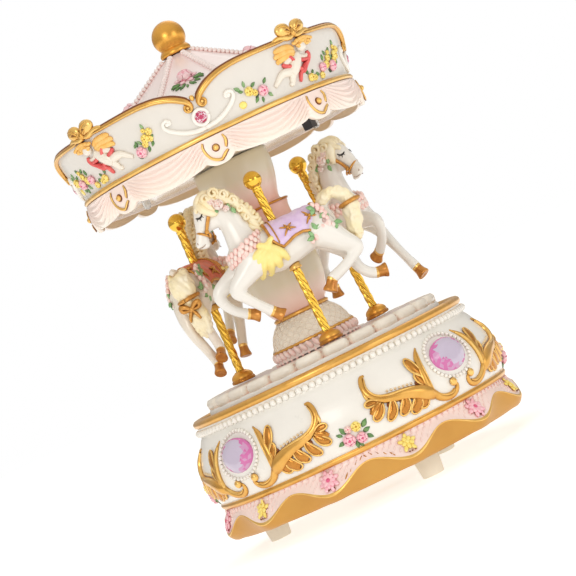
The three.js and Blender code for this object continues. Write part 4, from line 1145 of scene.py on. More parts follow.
def build_canopy_shell():
    """Crown and roof in one turned profile, from the drape's ledge up, over the roof and down inside."""
    shape = Shape()
    ledge = [(50.8, DRAPE_TOP), (50.8, 133.0), (51.6, 132.6), (53.0, 132.9), (53.3, 139.9)]
    band = [(53.5, 140.35), (54.2, 140.5), (54.6, 141.3), (54.2, 142.1), (53.4, 142.3)]
    wall = [(53.4, 143.4), (54.15, 146.5), (55.25, 151), (56.0, 154.2), (56.7, 157.4), (57.2, 159.5)]
    lip = [(57.15, 160.2), (56.6, 160.5), (56.0, 160.2), (55.3, 158.2), (53.8, 154.8), (52.0, 151.2),
           (50.7, 150.0)]
    roof = [ROOF_FOOT, (40, 155.9), (28, 162.9), (16, 169.9), ROOF_HEAD, (4.4, 176.6)]
    inside = [(0.01, 176.6), (0.01, 173.0), (20, 160.5), (46.5, 144.6), (50.8, DRAPE_TOP)]
    paints = (["blush_glaze"] * len(ledge) + ["gold_light"] * (len(band) - 1)
              + ["crown_white"] * (len(wall) + 1) + ["pearl_white"] * (len(lip) - 1)
              + ["roof_pink"] * len(roof) + ["cream_glaze"] * len(inside))
    add_lathe(shape, ledge + band + wall + lip + roof + inside, paints, 288, canopy_warp)
    shape.piece("canopy_shell", "carousel", "pink_resin", ["canopy"])


TAB_SPACING = 45
SKIRT_COLUMNS = 1080
SKIRT_ROWS = 40
TAB_WALL = [(54.6, 129), (54.9, 131), (55.1, 134), (54.9, 138), (54.4, 141)]
TAB_REFERENCE = 55
TAB_STROKES = [
    [(-3.9, 139.3, 0.28), (-4.35, 137.6, 0.42), (-4.1, 135.6, 0.5), (-3.2, 133.6, 0.5), (-1.7, 132.2, 0.55),
     (0.1, 131.6, 0.5), (1.2, 132.1, 0.3)],
    [(3.9, 139.3, 0.3), (4.3, 137.7, 0.5), (3.9, 136.2, 0.55), (3.3, 134.9, 0.35)],
    [(3.6, 133.8, 0.3), (2.5, 133.2, 0.45), (1.5, 132.4, 0.5), (0.4, 131.7, 0.35)]]


def skirt_relief(azimuth, share):
    """Radius and height of the pleated drape at an azimuth; share runs from its edge (0) to its top (1)."""
    t = ((azimuth - PATTERN_YAW) % TAB_SPACING) / TAB_SPACING
    near = min(t, 1 - t)
    tab = 1 / (1 + math.exp((near - 0.125) / 0.008))
    edge_swag = 132.0
    if 0.14 < t < 0.86:
        edge_swag -= 1.9 * max(0.0, math.sin(math.pi * (t - 0.14) / 0.72)) ** 0.6
    edge_tab = 130.0 + 2.3 * (near / 0.14) ** 2.4
    edge = edge_tab * tab + edge_swag * (1 - tab)
    height = edge + (DRAPE_TOP - edge) * share
    swag = max(0.0, min(1.0, (t - 0.13) / 0.74))
    sag = 5.4 * (1 - (2 * swag - 1) ** 2)
    phase = 2 * math.pi * (height - DRAPE_TOP + sag) / (1.35 + 0.9 * (1 - abs(2 * swag - 1)))
    pleat = 0.42 * (math.sin(phase) + 0.25 * math.sin(2 * phase + 0.6))
    fade = min(1.0, share * 6) * min(1.0, (1 - share) * 8)
    radius = 54.15 + 0.55 * math.sin(math.pi * min(1, share * 1.05)) + (1 - tab) * pleat * fade
    radius += tab * (0.75 - 0.5 * share) - (0.7 * (1 - share) ** 3)
    return radius, height


def build_canopy_skirt():
    """The pleated drape: its relief outside, a hem, and a plain face inside, painted light brown as shade."""
    shape = Shape()
    azimuths = [360 * j / SKIRT_COLUMNS for j in range(SKIRT_COLUMNS)]
    verts = []
    for i in range(SKIRT_ROWS + 1):
        share = (i / SKIRT_ROWS) ** 1.15
        for azimuth in azimuths:
            radius, height = skirt_relief(azimuth, share)
            verts.append(polar(radius, azimuth, height))
    verts += [polar(53.3, azimuth, DRAPE_TOP) for azimuth in azimuths]
    verts += [polar(52.3, azimuth, skirt_relief(azimuth, 0)[1] + 0.1) for azimuth in azimuths]
    faces = ring_faces(SKIRT_ROWS + 2, SKIRT_COLUMNS)
    paints = ["skirt_pink"] * len(faces)
    inner = (SKIRT_ROWS + 1) * SKIRT_COLUMNS
    hem = inner + SKIRT_COLUMNS
    for j in range(SKIRT_COLUMNS):
        k = (j + 1) % SKIRT_COLUMNS
        faces += [(inner + j, inner + k, hem + k, hem + j), (hem + j, hem + k, k, j)]
        paints += ["drape_inside", "skirt_pink"]
    shape.add(verts, faces, paints)
    shape.piece("canopy_skirt", "carousel", "pink_resin")


def build_skirt_scrolls():
    """On each tab, a gold U-shaped scroll round a domed boss."""
    shape, tab = Shape(), Shape()
    for stroke in TAB_STROKES:
        add_stroke(tab, stroke, "gold_light")
        add_stroke(tab, [(u + 0.25, z - 0.25, r * 0.8) for u, z, r in stroke], "gold_shadow", flatten=0.5)
    add_ball(tab, (0, 136.0, 0.1), (1.45, 1.45, 0.7), "gold_shadow", columns=14, rows=6)
    add_ball(tab, (0, 136.0, 0.5), (1.1, 1.1, 0.95), "gold_light", columns=14, rows=8)
    for i in range(360 // TAB_SPACING):
        shape.merge(tab, wall_mapper(TAB_WALL, PATTERN_YAW + TAB_SPACING * i, TAB_REFERENCE))
    shape.piece("skirt_scrolls", "carousel", "gold_paint")


# Half of the crown's gold edge, from between two bays to its volute: (across, up, radius)
EDGE_SCROLL = [
    (-41.5, 160.6, 0.7), (-36, 160.3, 0.75), (-30, 160.3, 0.78), (-24, 160.3, 0.82), (-19, 160.2, 0.88),
    (-15.5, 159.9, 0.92), (-12.3, 159.4, 0.98), (-9.2, 158.5, 1.05), (-6.6, 157.4, 1.1), (-4.4, 156.1, 1.1),
    (-2.7, 154.8, 1.05), (-1.75, 153.5, 0.98), (-1.6, 152.4, 0.9), (-2.3, 151.5, 0.82), (-3.4, 151.6, 0.72),
    (-3.9, 152.6, 0.58), (-3.3, 153.5, 0.42), (-2.6, 153.2, 0.25)]


def build_crown_bows():
    """A gold bow on the crown's edge between each two bays."""
    bow, bows = Shape(), Shape()
    add_crown_bow(bow)
    repeat_on_crown(bows, bow, BETWEEN_BAYS)
    bows.piece("crown_bows", "carousel", "gold_paint")


def add_crown_bow(shape):
    """A full ribbon bow in relief: two puffed loops with small eyes, a knot and short tails."""
    for way in SIDES:
        add_ball(shape, (way * 3.6, 163.5, 0.4), (3.3, 2.5, 1.7), "gold_light", columns=18, rows=10)
        add_ball(shape, (way * 1.9, 162.4, 0.5), (1.9, 1.5, 1.3), "gold_light", columns=14, rows=8)
        add_ball(shape, (way * 3.1, 163.0, 1.85), (0.8, 0.5, 0.35), "gold_shadow", columns=10, rows=5)
        for lift, size in ((1.1, 0.4), (-0.6, 0.36)):
            fold = [(way * 1.4, 162.0 + 0.3 * lift, 1.5, size), (way * 3.2, 163.3 + lift, 1.95, size),
                    (way * 5.6, 164.0 + lift * 0.8, 1.3, 0.2)]
            add_tube(shape, smooth_path(fold, 4), "gold_paint", sides=7)
        tail = [(0, 160.9, 0.6, 0.9), (way * 2.2, 160.4, 0.6, 1.1), (way * 4.8, 161.0, 0.4, 1.1),
                (way * 7.0, 161.2, 0.2, 0.95), (way * 9.4, 160.6, 0.0, 0.7)]
        add_tube(shape, smooth_path(tail, 5), "gold_light", sides=9)
    add_ball(shape, (0, 161.5, 0.9), (1.3, 1.5, 1.3), "gold_paint", columns=14, rows=8)


def build_crown_trim():
    """The gold edge of the crown, curling into a pair of volutes over each gem."""
    side, joint, trim = Shape(), Shape(), Shape()
    body = [(u, z, 0.3, r) for u, z, r in EDGE_SCROLL]
    # crest is a light-gold streak along the edge, a painted highlight.
    crest = [(u + 0.1, z - 0.2, 0.75 + 0.55 * r, 0.3 * r) for u, z, r in EDGE_SCROLL[:16]]
    shade = [(u + (0.25 if u > -8 else 0), z + 0.5, -0.25, r * 0.95) for u, z, r in EDGE_SCROLL[:12]]
    add_tube(side, smooth_path(body, 6), "gold_paint", sides=12)
    add_tube(side, smooth_path(crest, 5), "gold_light", sides=7)
    add_tube(side, smooth_path(shade, 6), "gold_shadow", sides=10)
    add_ball(side, (-2.75, 152.6, 0.35), (0.85, 0.85, 0.95), "gold_light", columns=10, rows=6)
    add_ball(joint, (0, 155.0, 0.2), (0.9, 1.1, 0.7), "gold_light", columns=10, rows=6)
    for part in (side, mirrored(side), joint):
        repeat_on_crown(trim, part)
    trim.piece("crown_trim", "carousel", "gold_paint")


def build_crown_scrolls():
    """White relief on the crown: a C-scroll cradling each gem, and the gem's smooth cream collar."""
    bay, shape = Shape(), Shape()
    arm = [(0.0, 143.9, 0.85), (3.4, 144.1, 0.9), (6.6, 144.9, 0.95), (9.8, 146.4, 0.9), (12.3, 148.2, 0.85),
           (13.6, 149.9, 0.8), (13.3, 151.4, 0.75), (11.9, 151.9, 0.7), (10.9, 151.0, 0.65),
           (11.4, 150.1, 0.5)]
    for way in SIDES:
        add_tube(bay, smooth_path([(way * u, z, 0.3, r) for u, z, r in arm], 6), "pearl_white", sides=12)
        add_ball(bay, (way * 11.9, 150.7, 0.5), (1.0, 0.9, 0.8), "pearl_white", columns=10, rows=6)
    angles = np.radians(np.arange(0, 361, 12))
    collar = [(2.75 * math.cos(a), 147.9 + 2.75 * math.sin(a), 0.35, 0.72) for a in angles]
    add_tube(bay, collar, "pearl_white", sides=10)
    repeat_on_crown(shape, bay)
    shape.piece("crown_scrolls", "carousel", "white_resin")


# Flowers as (across, up, radius), leaves as (across, up, length, angle) and a paint if it is not leaf_green
LEFT_SPRAY = {
    "rose": (25.7, 146.4, 2.3),
    "blossoms": [(21.7, 150.0, 1.8), (19.2, 151.6, 1.5), (22.8, 148.2, 1.4), (20.0, 149.2, 1.3),
                 (21.0, 152.6, 1.0)],
    "leaves": [(20.6, 153.0, 2.2, 85, "leaf_light"), (18.2, 151.4, 2.0, 5, "leaf_light"),
               (26.3, 148.5, 2.3, 100), (27.6, 148.6, 1.9, 135), (22.0, 147.0, 2.3, -60),
               (24.2, 148.6, 2.2, 60, "leaf_light"), (28.2, 145.3, 2.6, 200, "leaf_dark"),
               (19.6, 148.0, 2.2, -50), (23.4, 149.6, 1.6, 160, "leaf_dark"), (18.4, 150.0, 1.6, -30)]}
RIGHT_SPRAY = {
    "rose": (24.6, 147.2, 2.2),
    "blossoms": [(19.4, 148.8, 1.9), (21.4, 147.6, 1.3)],
    "leaves": [(16.6, 150.2, 2.6, 140, "leaf_light"), (18.4, 150.6, 2.3, 85, "leaf_light"),
               (20.8, 149.8, 2.3, 30), (25.8, 149.2, 2.3, 50), (22.2, 145.8, 2.4, 225),
               (23.8, 145.2, 2.1, 260), (26.4, 145.8, 2.4, -50, "leaf_light"),
               (22.4, 147.4, 2.0, 190, "leaf_dark"), (22.6, 146.6, 1.8, 210, "leaf_dark"),
               (17.4, 149.4, 2.0, 160)]}
CORNER_SPRAY = {
    "rose": (11.4, 146.9, 1.9),
    "blossoms": [(3.4, 144.9, 1.7), (5.6, 144.4, 1.3), (10.2, 144.3, 1.4), (14.4, 147.4, 1.6),
                 (16.2, 149.4, 1.4), (17.4, 151.2, 1.0)],
    "leaves": [(2.4, 146.2, 2.2, 110), (6.8, 144.8, 2.0, 10), (13.0, 149.0, 2.3, 90), (18.0, 151.0, 2.3, 60),
               (8.4, 145.6, 2.0, 190), (16.2, 147.2, 2.0, -40), (15.4, 150.6, 2.0, 120),
               (4.6, 145.8, 1.8, 60)]}


def add_spray(shape, way, spray):
    """Leaves, yellow blossoms and a rose; way mirrors it to the left."""
    add_leaves(shape, spray["leaves"], way=way)
    add_blooms(shape, way, spray["blossoms"], "flower_yellow", "flower_heart")
    add_blooms(shape, way, [spray["rose"]], "rose_pink", "rose_heart")


def build_crown_flowers():
    """Painted resin sprays: a rose, yellow blossoms and leaves on each side of every bay."""
    bay, shape = Shape(), Shape()
    add_spray(bay, -1, LEFT_SPRAY)
    add_spray(bay, 1, RIGHT_SPRAY)
    add_ball(bay, (15.6, 145.3, 0.1), (1.6, 1.4, 0.45), "flower_yellow", columns=10, rows=5)
    repeat_on_crown(shape, bay)
    shape.piece("crown_flowers", "carousel", "white_resin")


# A cherub's limbs and sash: (paint, flattening, lines of (across, up, radius))
CHERUB_LIMBS = [
    ("skin_cream", 0.8, [
        [(0.2, 154.2, 1.5), (2.2, 152.0, 2.1), (4.2, 149.8, 2.2), (5.8, 148.4, 1.8)],
        [(5.4, 149.2, 1.7), (8.0, 149.6, 1.6), (10.4, 149.2, 1.3), (12.6, 147.6, 1.0), (14.2, 146.4, 0.75)],
        [(5.2, 148.4, 1.7), (5.8, 146.8, 1.3), (6.4, 145.4, 1.0), (7.6, 145.0, 0.75)],
        [(0.2, 153.4, 1.0), (-2.2, 152.6, 0.85), (-4.2, 152.6, 0.75), (-5.2, 153.8, 0.6)],
        [(3.2, 153.2, 0.9), (5.4, 152.6, 0.9), (7.4, 153.2, 0.65)]]),
    ("sash_red", 1.5, [
        [(-4.6, 154.0, 0.6), (-4.9, 152.8, 0.8), (-4.0, 151.2, 0.9), (-2.0, 149.8, 1.0), (0.0, 148.2, 1.1),
         (1.2, 149.1, 0.9), (4.4, 150.6, 0.9), (7.6, 151.7, 0.9), (8.2, 152.8, 0.5)]]),
    ("sash_red", 1.9, [[(-4.4, 151.4, 0.7), (-1.6, 151.6, 0.75), (1.0, 152.2, 0.8), (2.8, 152.4, 0.5)]]),
    ("sash_red", 2.0, [[(1.4, 149.2, 0.7), (2.8, 151.4, 0.8), (4.2, 153.6, 0.8), (5.0, 154.6, 0.5)]]),
    ("sash_red", 1.7, [[(0.7, 148.6, 0.9), (1.7, 147.0, 0.7), (2.2, 145.4, 0.6), (2.5, 144.8, 0.4)]]),
    ("sash_red", 1.8, [[(4.8, 150.4, 0.7), (6.6, 149.6, 0.8), (7.8, 150.4, 0.5)]]),
]
# Feathers of a wing, from the top: (length, height, paint)
FEATHERS = [(7.4, 157.6, "wing_gold"), (8.0, 156.3, "wing_gold"), (7.6, 155.0, "hair_gold"),
            (5.6, 153.6, "skin_cream")]


def add_cherub_limb(shape, way, points, paint, flatten):
    """A rounded, flattened line of relief through (across, up, radius)."""
    rows = [(way * u, z, 0.3 * r, r) for u, z, r in points]
    add_tube(shape, smooth_path(rows, 5), paint, sides=10, flatten=flatten, normal=OUT)


def add_cherub(shape, way):
    """A small winged child lying against the wall, head up under the bow, in relief. way mirrors it."""
    for paint_name, flatten, limbs in CHERUB_LIMBS:
        for points in limbs:
            add_cherub_limb(shape, way, points, paint_name, flatten)
    add_ball(shape, (way * -1.9, 156.2, 0.9), (2.0, 1.8, 1.5), "skin_cream", columns=14, rows=8)
    add_ball(shape, (way * -3.2, 157.9, 0.6), (4.0, 1.5, 1.3), "hair_gold", columns=16, rows=8)
    for i in range(11):
        share = i / 10
        reach = 1.1 + 0.3 * math.sin(2.6 * i)
        high = (way * (-7.4 + 8.4 * share), 158.0 + 1.0 * math.sin(math.pi * share), 1.3)
        low = (way * (-6.2 + 6.2 * share), 156.9 + 0.5 * math.sin(1.9 * i), 1.5)
        add_ball(shape, high, (reach, 0.7, 0.75), "hair_gold" if i % 3 else "wing_gold", columns=9, rows=6)
        add_ball(shape, low, (0.95, 0.6, 0.6), "hair_gold" if i % 2 else "wing_gold", columns=9, rows=6)
    for row, (length, rise, paint_name) in enumerate(FEATHERS):
        feather = [(1.6, rise - 1.2, 0.9), (4.2, rise - 0.2, 1.25),
                   (1.6 + length, rise - 0.1 - 0.4 * row, 1.1), (2.6 + length, rise - 0.9 - 0.5 * row, 0.5)]
        add_cherub_limb(shape, way, feather, paint_name, 0.7)


def build_cherubs():
    """A cherub under each bow, facing one way and the other in turn."""
    shape, left, right = Shape(), Shape(), Shape()
    add_cherub(left, 1)
    add_cherub(right, -1)
    right.faces = [tuple(reversed(face)) for face in right.faces]
    for i, yaw in enumerate(BAY_YAWS):
        figure = left if i % 2 else right
        shape.merge(figure, wall_mapper(CROWN_WALL, yaw + BETWEEN_BAYS, CROWN_REFERENCE))
    shape.piece("crown_cherubs", "carousel", "white_resin")


def build_corner_flowers():
    """Beyond each cherub's feet, a low garland of yellow and pink blossoms."""
    shape = Shape()
    for i, yaw in enumerate(BAY_YAWS):
        garland = Shape()
        add_spray(garland, -1 if i % 2 else 1, CORNER_SPRAY)
        shape.merge(garland, wall_mapper(CROWN_WALL, yaw + BETWEEN_BAYS, CROWN_REFERENCE))
    shape.piece("corner_flowers", "carousel", "white_resin")


ROOF_LEAVES = [(-2.4, -0.8, 4.0, 190), (2.4, -0.6, 4.2, -6), (-0.8, -2.2, 3.2, 240), (0.8, -2.4, 3.4, 290),
               (-3.6, -1.4, 2.4, 150), (4.0, -0.8, 2.2, 30), (-0.2, -3.6, 2.8, 265), (-4.6, -0.8, 2.0, 230),
               (4.8, -1.0, 2.0, -40), (1.4, -4.0, 2.2, 320), (-1.6, -3.8, 2.2, 215), (2.6, -3.0, 2.4, 340),
               (-2.8, -3.0, 2.4, 200)]


def roof_height(radius):
    """Height of the roof's straight slope at a radius."""
    (foot_radius, foot_height), (head_radius, head_height) = ROOF_FOOT, ROOF_HEAD
    return head_height + (radius - head_radius) * (foot_height - head_height) / (foot_radius - head_radius)


def build_roof_ribs():
    """Eight ribs of small beads run down the roof, and a cord sags across every other panel."""
    shape = Shape()
    for i in range(ROOF_RIBS):
        azimuth = PATTERN_YAW + 22.5 + 45 * i
        turn = outward_frame(azimuth, 60)
        for radius in np.arange(7.0, 50.0, 1.5):
            centre = polar(radius, azimuth, roof_height(radius) + 0.6)
            add_ball(shape, centre, (1.25, 0.9, 1.0), "rib_bead", turn, 9, 6)
        if i % 2 == 0:
            sag = []
            for step in range(17):
                share = step / 16
                reach = 26 + 9.0 * math.sin(math.pi * share) ** 0.8
                sag.append((*polar(reach, azimuth + 45 * share, roof_height(reach) + 0.2), 0.5))
            add_tube(shape, smooth_path(sag, 3), "rib_bead", sides=8)
    shape.piece("roof_beads", "carousel", "pink_resin")


def build_roof_roses():
    """A rose with leaves on the roof over each bay."""
    flower, roses = Shape(), Shape()
    add_leaves(flower, ROOF_LEAVES, width=0.24, lift=0.7)
    add_daisy(flower, 0, 1.8, 4.6, "roof_rose", "rose_pink", 6)
    add_rose(flower, 0, 2.0, 3.3, "roof_rose", "rose_pink")
    slope = math.degrees(math.atan2(ROOF_HEAD[1] - ROOF_FOOT[1], ROOF_FOOT[0] - ROOF_HEAD[0]))
    for yaw in BAY_YAWS:
        centre = polar(26.2, yaw, roof_height(26.2) + 0.2)
        roses.merge(flower, moved(outward_frame(yaw, 90 - slope), centre))
    roses.piece("roof_roses", "carousel", "pink_resin")


def build_canopy_gems():
    """Small pink stones with facets coloured ruby, pink and pale at random: painted glints and reflections.
    """
    levels = [(0.5, -0.7), (0.95, -0.35), (1.0, 0.1), (0.86, 0.45), (0.66, 0.75), (0.42, 0.95), (0.36, 1.0)]
    glitter = random.Random(7)

    def colour_of(ring, _):
        tones = ("ruby_cut", "pink_cut", "pale_cut", "ruby_cut", "pink_cut") if ring > 1 else ("ruby_cut",)
        return glitter.choice(tones)

    for i, yaw in enumerate([0, 90, 180, -90]):
        node = f"canopy_gem_{i + 1}"
        stone, cut = Shape(), Shape()
        add_cut_gem(stone, 2.25, 2.25, 12, levels, colour_of)
        cut.merge(stone, moved(outward_frame(yaw + PATTERN_YAW, -14), centre_of(node)))
        cut.piece(f"{node}_cut", "carousel", "pink_gem", [node])


def build_finial():
    """The gold ball on its turned collar."""
    shape = Shape()
    base, centre, radius = bottom_of("canopy_finial"), 183.7, 6.25
    collar = rounded([(0.01, base), (5.2, base), (5.9, base + 0.5), (5.95, base + 1.2), (5.6, base + 1.9),
                      (5.0, base + 2.6), (4.85, base + 2.9)], 2)
    angles = np.radians(np.arange(-38, 90, 5.5))
    sphere = [(radius * math.cos(a), centre + radius * math.sin(a)) for a in angles]
    add_lathe(shape, collar + sphere + [(0.01, centre + radius)], "gold_ball", 72)
    shape.piece("canopy_finial_ball", "carousel", "gold_paint", ["canopy_finial"])


build_deck()
build_column()
build_column_trims()
build_poles()
build_canopy_shell()
build_canopy_skirt()
build_skirt_scrolls()
build_crown_trim()
build_crown_bows()
build_crown_scrolls()
build_crown_flowers()
build_cherubs()
build_corner_flowers()
build_roof_ribs()
build_roof_roses()
build_canopy_gems()
build_finial()

# ---------------------------------------------------------------- horses
# A horse is modelled in its pole's frame: forward, outwards (its left side), up from the deck.
SIDEWAYS = np.array([0.0, 1.0, 0.0])
TRUNK = [(15.2, 39.0, 5.4), (11, 39.9, 7.9), (3, 38.9, 8.6), (-5, 39.5, 7.7), (-12, 40.4, 7.0),
         (-15.6, 40.6, 5.6)]
TRUNK_WIDTH = 0.8


def trunk_at(forward):
    """Centre height and radius of the trunk at a distance forward of the pole."""
    places = [row[0] for row in reversed(TRUNK)]
    height = np.interp(forward, places, [row[1] for row in reversed(TRUNK)])
    radius = np.interp(forward, places, [row[2] for row in reversed(TRUNK)])
    return height, radius


def flank(forward, up, side, proud=0.0):
    """A point on the trunk's side, a little proud of the skin."""
    height, radius = trunk_at(forward)
    reach = radius + proud
    across = TRUNK_WIDTH * math.sqrt(max(reach**2 - (up - height) ** 2, 1.0))
    return np.array([forward, side * (across + 0.25 * proud), up])


def add_limb(shape, rows, paint, flatten=1.0, sides=14, steps=5):
    """A rounded limb through rows of (forward, outwards, up, radius)."""
    add_tube(shape, smooth_path(rows, steps), paint, sides=sides, flatten=flatten, normal=SIDEWAYS)
    for row in (rows[0], rows[-1]):
        add_ball(shape, row[:3], (row[3], row[3] * flatten, row[3]), paint, columns=14, rows=8)


def melted(shape, voxel, rounds):
    """The outer skin of overlapping closed shapes, remeshed as one smooth surface."""
    mesh = bpy.data.meshes.new("melt")
    mesh.from_pydata((np.vstack(shape.verts) * MM).tolist(), [], shape.faces)
    obj = bpy.data.objects.new("melt", mesh)
    bpy.context.scene.collection.objects.link(obj)
    remesh = obj.modifiers.new("remesh", "REMESH")
    remesh.mode = "VOXEL"
    remesh.voxel_size = voxel * MM
    smooth = obj.modifiers.new("smooth", "SMOOTH")
    smooth.factor = 0.6
    smooth.iterations = rounds
    graph = bpy.context.evaluated_depsgraph_get()
    skin = obj.evaluated_get(graph).to_mesh()
    verts = np.array([v.co for v in skin.vertices]) / MM
    faces = [tuple(p.vertices) for p in skin.polygons]
    obj.evaluated_get(graph).to_mesh_clear()
    bpy.data.objects.remove(obj)
    bpy.data.meshes.remove(mesh)
    return verts, faces


def axis_frame(direction):
    """Columns: two sideways directions and the direction itself."""
    ahead = _unit(np.asarray(direction, float))
    side = _unit(np.cross(SIDEWAYS, ahead)) if abs(ahead[1]) < 0.9 else _unit(np.cross([1.0, 0, 0], ahead))
    return np.stack([side, np.cross(ahead, side), ahead], 1)


def add_hoof(shape, start, toe):
    """A small rounded hoof, pale where the hair ends, flaring to a flat sole."""
    start, toe = np.asarray(start, float), np.asarray(toe, float)
    ahead = toe - start
    length = 0.86 * np.linalg.norm(ahead)
    wall = Shape()
    profile = rounded([(0.01, -0.9), (1.6, -0.7), (1.85, -0.1), (1.8, 0.5), (1.95, 0.5 * length),
                       (2.4, 0.85 * length), (2.35, 0.97 * length), (1.9, length), (0.01, 0.97 * length)], 2)
    add_lathe(wall, profile, ["gold_light"] * 6 + ["gold_hoof"] * (len(profile) - 7), 24)
    turn = axis_frame(ahead)
    squeeze = np.array([1.1, 0.9, 1.0])
    shape.merge(wall, lambda verts: (verts * squeeze) @ turn.T + start)


CREST = [(20.4, 64.4), (18.0, 66.2), (14.8, 66.0), (11.4, 63.8), (9.2, 60.6), (7.9, 57.2), (7.2, 53.8),
         (6.8, 50.4), (6.2, 47.6)]


CURLS = [(18.9, 65.0, 1.7), (15.6, 65.8, 1.9), (12.4, 63.9, 1.8), (10.2, 60.6, 1.6), (9.0, 56.8, 1.4),
         (8.2, 53.0, 1.3)]


def add_curl(shape, centre, side, size, colour):
    """A spiral lock of hair lying flat against one side of the neck."""
    rows = []
    for i in range(15):
        share = i / 14
        angle = math.radians(-60 + 500 * share)
        reach = size * (1.0 - 0.75 * share)
        rows.append((centre[0] - reach * math.cos(angle), centre[1] + side * 0.9 * share,
                     centre[2] + reach * math.sin(angle), 0.8 - 0.25 * share))
    add_tube(shape, rows, colour, sides=8)


def add_mane(shape, colour):
    """A moulded mane: rolled waves down the neck's crest, curls over them and a forelock."""
    crest = smooth_path([(x, 0, z, 1.0) for x, z in CREST], 2)
    last = len(crest) - 1
    for i, (x, _, z, _) in enumerate(crest):
        full = 1.0 - 0.4 * i / last
        add_ball(shape, (x - 0.4, 0, z - 0.2), (2.3 * full, 1.7, 2.1 * full), colour, columns=14, rows=8)
        for side in SIDES:
            low = 4.6 * full + 1.4
            wave = 0.7 * math.sin(2.3 * i + side)
            rows = [(x + 1.4, side * 0.9, z + 0.8, 1.3 * full),
                    (x + 0.4 + wave, side * (1.4 + 1.8 * full), z - 0.3 * low, 1.65 * full),
                    (x - 0.8, side * (1.5 + 2.0 * full), z - 0.7 * low, 1.4 * full),
                    (x - 2.0 - wave, side * (1.0 + 1.8 * full), z - 0.85 * low, 1.3 * full),
                    (x - 3.2, side * (0.6 + 1.2 * full), z - 0.6 * low, 1.0)]
            add_tube(shape, smooth_path(rows, 4), colour, sides=10)
    for side in SIDES:
        for x, z, size in CURLS:
            size_here = size * (1.0 + 0.12 * math.sin(5 * x))
            add_curl(shape, (x, side * (2.6 + 0.5 * size), z), side, size_here, colour)
    for side in (-1, 0, 1):
        rows = [(15.4, side * 1.3, 65.2, 1.7), (18.4, side * 1.9, 66.9, 1.7), (21.2, side * 1.8, 65.8, 1.4),
                (22.2, side * 2.1, 63.8, 1.1), (23.4, side * 1.8, 62.6, 0.8), (22.8, side * 1.9, 61.4, 0.4)]
        add_tube(shape, smooth_path(rows, 4), colour, sides=10)


def add_small_flower(shape, centre, normal, radius, paint, heart):
    """A rose set on the horse, facing along a normal."""
    flower = Shape()
    add_rose(flower, 0, 0, radius, paint, heart)
    shape.merge(flower, moved(axis_frame(normal), centre))


def add_small_leaf(shape, centre, normal, length, angle):
    """A leaf lying on the horse, its face along a normal."""
    leaf = Shape()
    add_leaf(leaf, 0, 0, length, angle, "leaf_fresh", width=0.36)
    shape.merge(leaf, moved(axis_frame(normal), centre))


def add_head_flowers(shape):
    """Three blossoms and four leaves below each ear."""
    for side in SIDES:
        normal = (0.1, side, 0.25)
        for x, y, z, radius in ((15.6, 3.9, 61.2, 2.3), (17.6, 3.7, 63.2, 1.6), (13.6, 4.0, 58.8, 1.4)):
            add_small_flower(shape, (x, side * y, z), normal, radius, "blossom_pale", "blossom_pink")
        for x, z, angle in ((16.8, 58.8, 20), (12.2, 60.2, 150), (18.6, 61.6, -20), (11.8, 58.4, 190)):
            add_small_leaf(shape, (x, side * 4.1, z), normal, 2.8, angle)


def add_bridle(shape):
    """Cheek straps, a noseband round the muzzle and a ring on each side."""
    for side in SIDES:
        rows = [(18.6, side * 3.35, 61.6, 0.6), (20.4, side * 3.25, 59.0, 0.68),
                (22.0, side * 2.9, 56.6, 0.64), (23.2, side * 2.5, 54.6, 0.6)]
        add_tube(shape, smooth_path(rows, 5), "gold_strap", sides=8, flatten=0.5, normal=SIDEWAYS)
        add_ball(shape, (23.2, side * 2.5, 54.4), (0.9, 0.6, 0.9), "gold_strap", columns=10, rows=6)
        add_ball(shape, (22.6, side * 2.4, 53.0), (0.5, 0.4, 0.9), "gold_strap", columns=8, rows=5)
    up = np.array([0.78, 0, 0.62])
    ring = []
    for i in range(25):
        angle = 2 * math.pi * i / 24
        point = np.array([24.3, 0, 53.9]) + up * 2.5 * math.cos(angle) + SIDEWAYS * 2.05 * math.sin(angle)
        ring.append((*point, 0.48))
    add_tube(shape, ring, "gold_strap", sides=8)


def add_face(shape):
    """Closed eyes with lashes, nostrils and a mouth line, the same on both sides."""
    for side in SIDES:
        lid = [(22.0, side * 2.95, 60.9, 0.2), (22.9, side * 2.85, 60.0, 0.38),
               (23.9, side * 2.45, 59.9, 0.38), (24.6, side * 1.9, 60.4, 0.2)]
        add_tube(shape, smooth_path(lid, 5), "lash_black", sides=6)
        for x, z, tip_x, tip_z in ((22.4, 60.2, 21.9, 59.2), (23.4, 59.8, 23.3, 58.7),
                                   (24.3, 60.1, 24.6, 59.1)):
            lash = [(x, side * 2.75, z, 0.2), ((x + tip_x) / 2, side * 2.75, (z + tip_z) / 2, 0.15),
                    (tip_x, side * 2.7, tip_z, 0.06)]
            add_tube(shape, lash, "lash_black", sides=5)
        add_ball(shape, (27.75, side * 1.2, 51.9), (0.32, 0.25, 0.5), "nostril_brown", columns=8, rows=5)
        mouth = [(28.0, side * 0.6, 50.3, 0.1), (26.8, side * 1.75, 50.1, 0.14),
                 (25.4, side * 1.9, 50.7, 0.08)]
        add_tube(shape, smooth_path(mouth, 4), "nostril_brown", sides=5)


LEG_FILL = 0.42
BARE = "horse_white"
NECK = [(12.0, 0, 42.5, 7.3), (12.6, 0, 48.0, 5.9), (13.0, 0, 53.4, 5.1), (14.6, 0, 59.0, 4.8),
        (17.2, 0, 62.4, 4.3)]
HEAD = [(17.6, 0, 63.2, 4.0), (20.4, 0, 61.2, 4.2), (22.6, 0, 57.9, 3.4), (24.5, 0, 54.6, 2.5),
        (26.0, 0, 51.9, 2.5)]
TAIL_ROOT = [(-16.5, 0, 43.4, 2.6), (-19.6, 0, 46.2, 1.9), (-22.4, 0, 47.6, 1.5)]


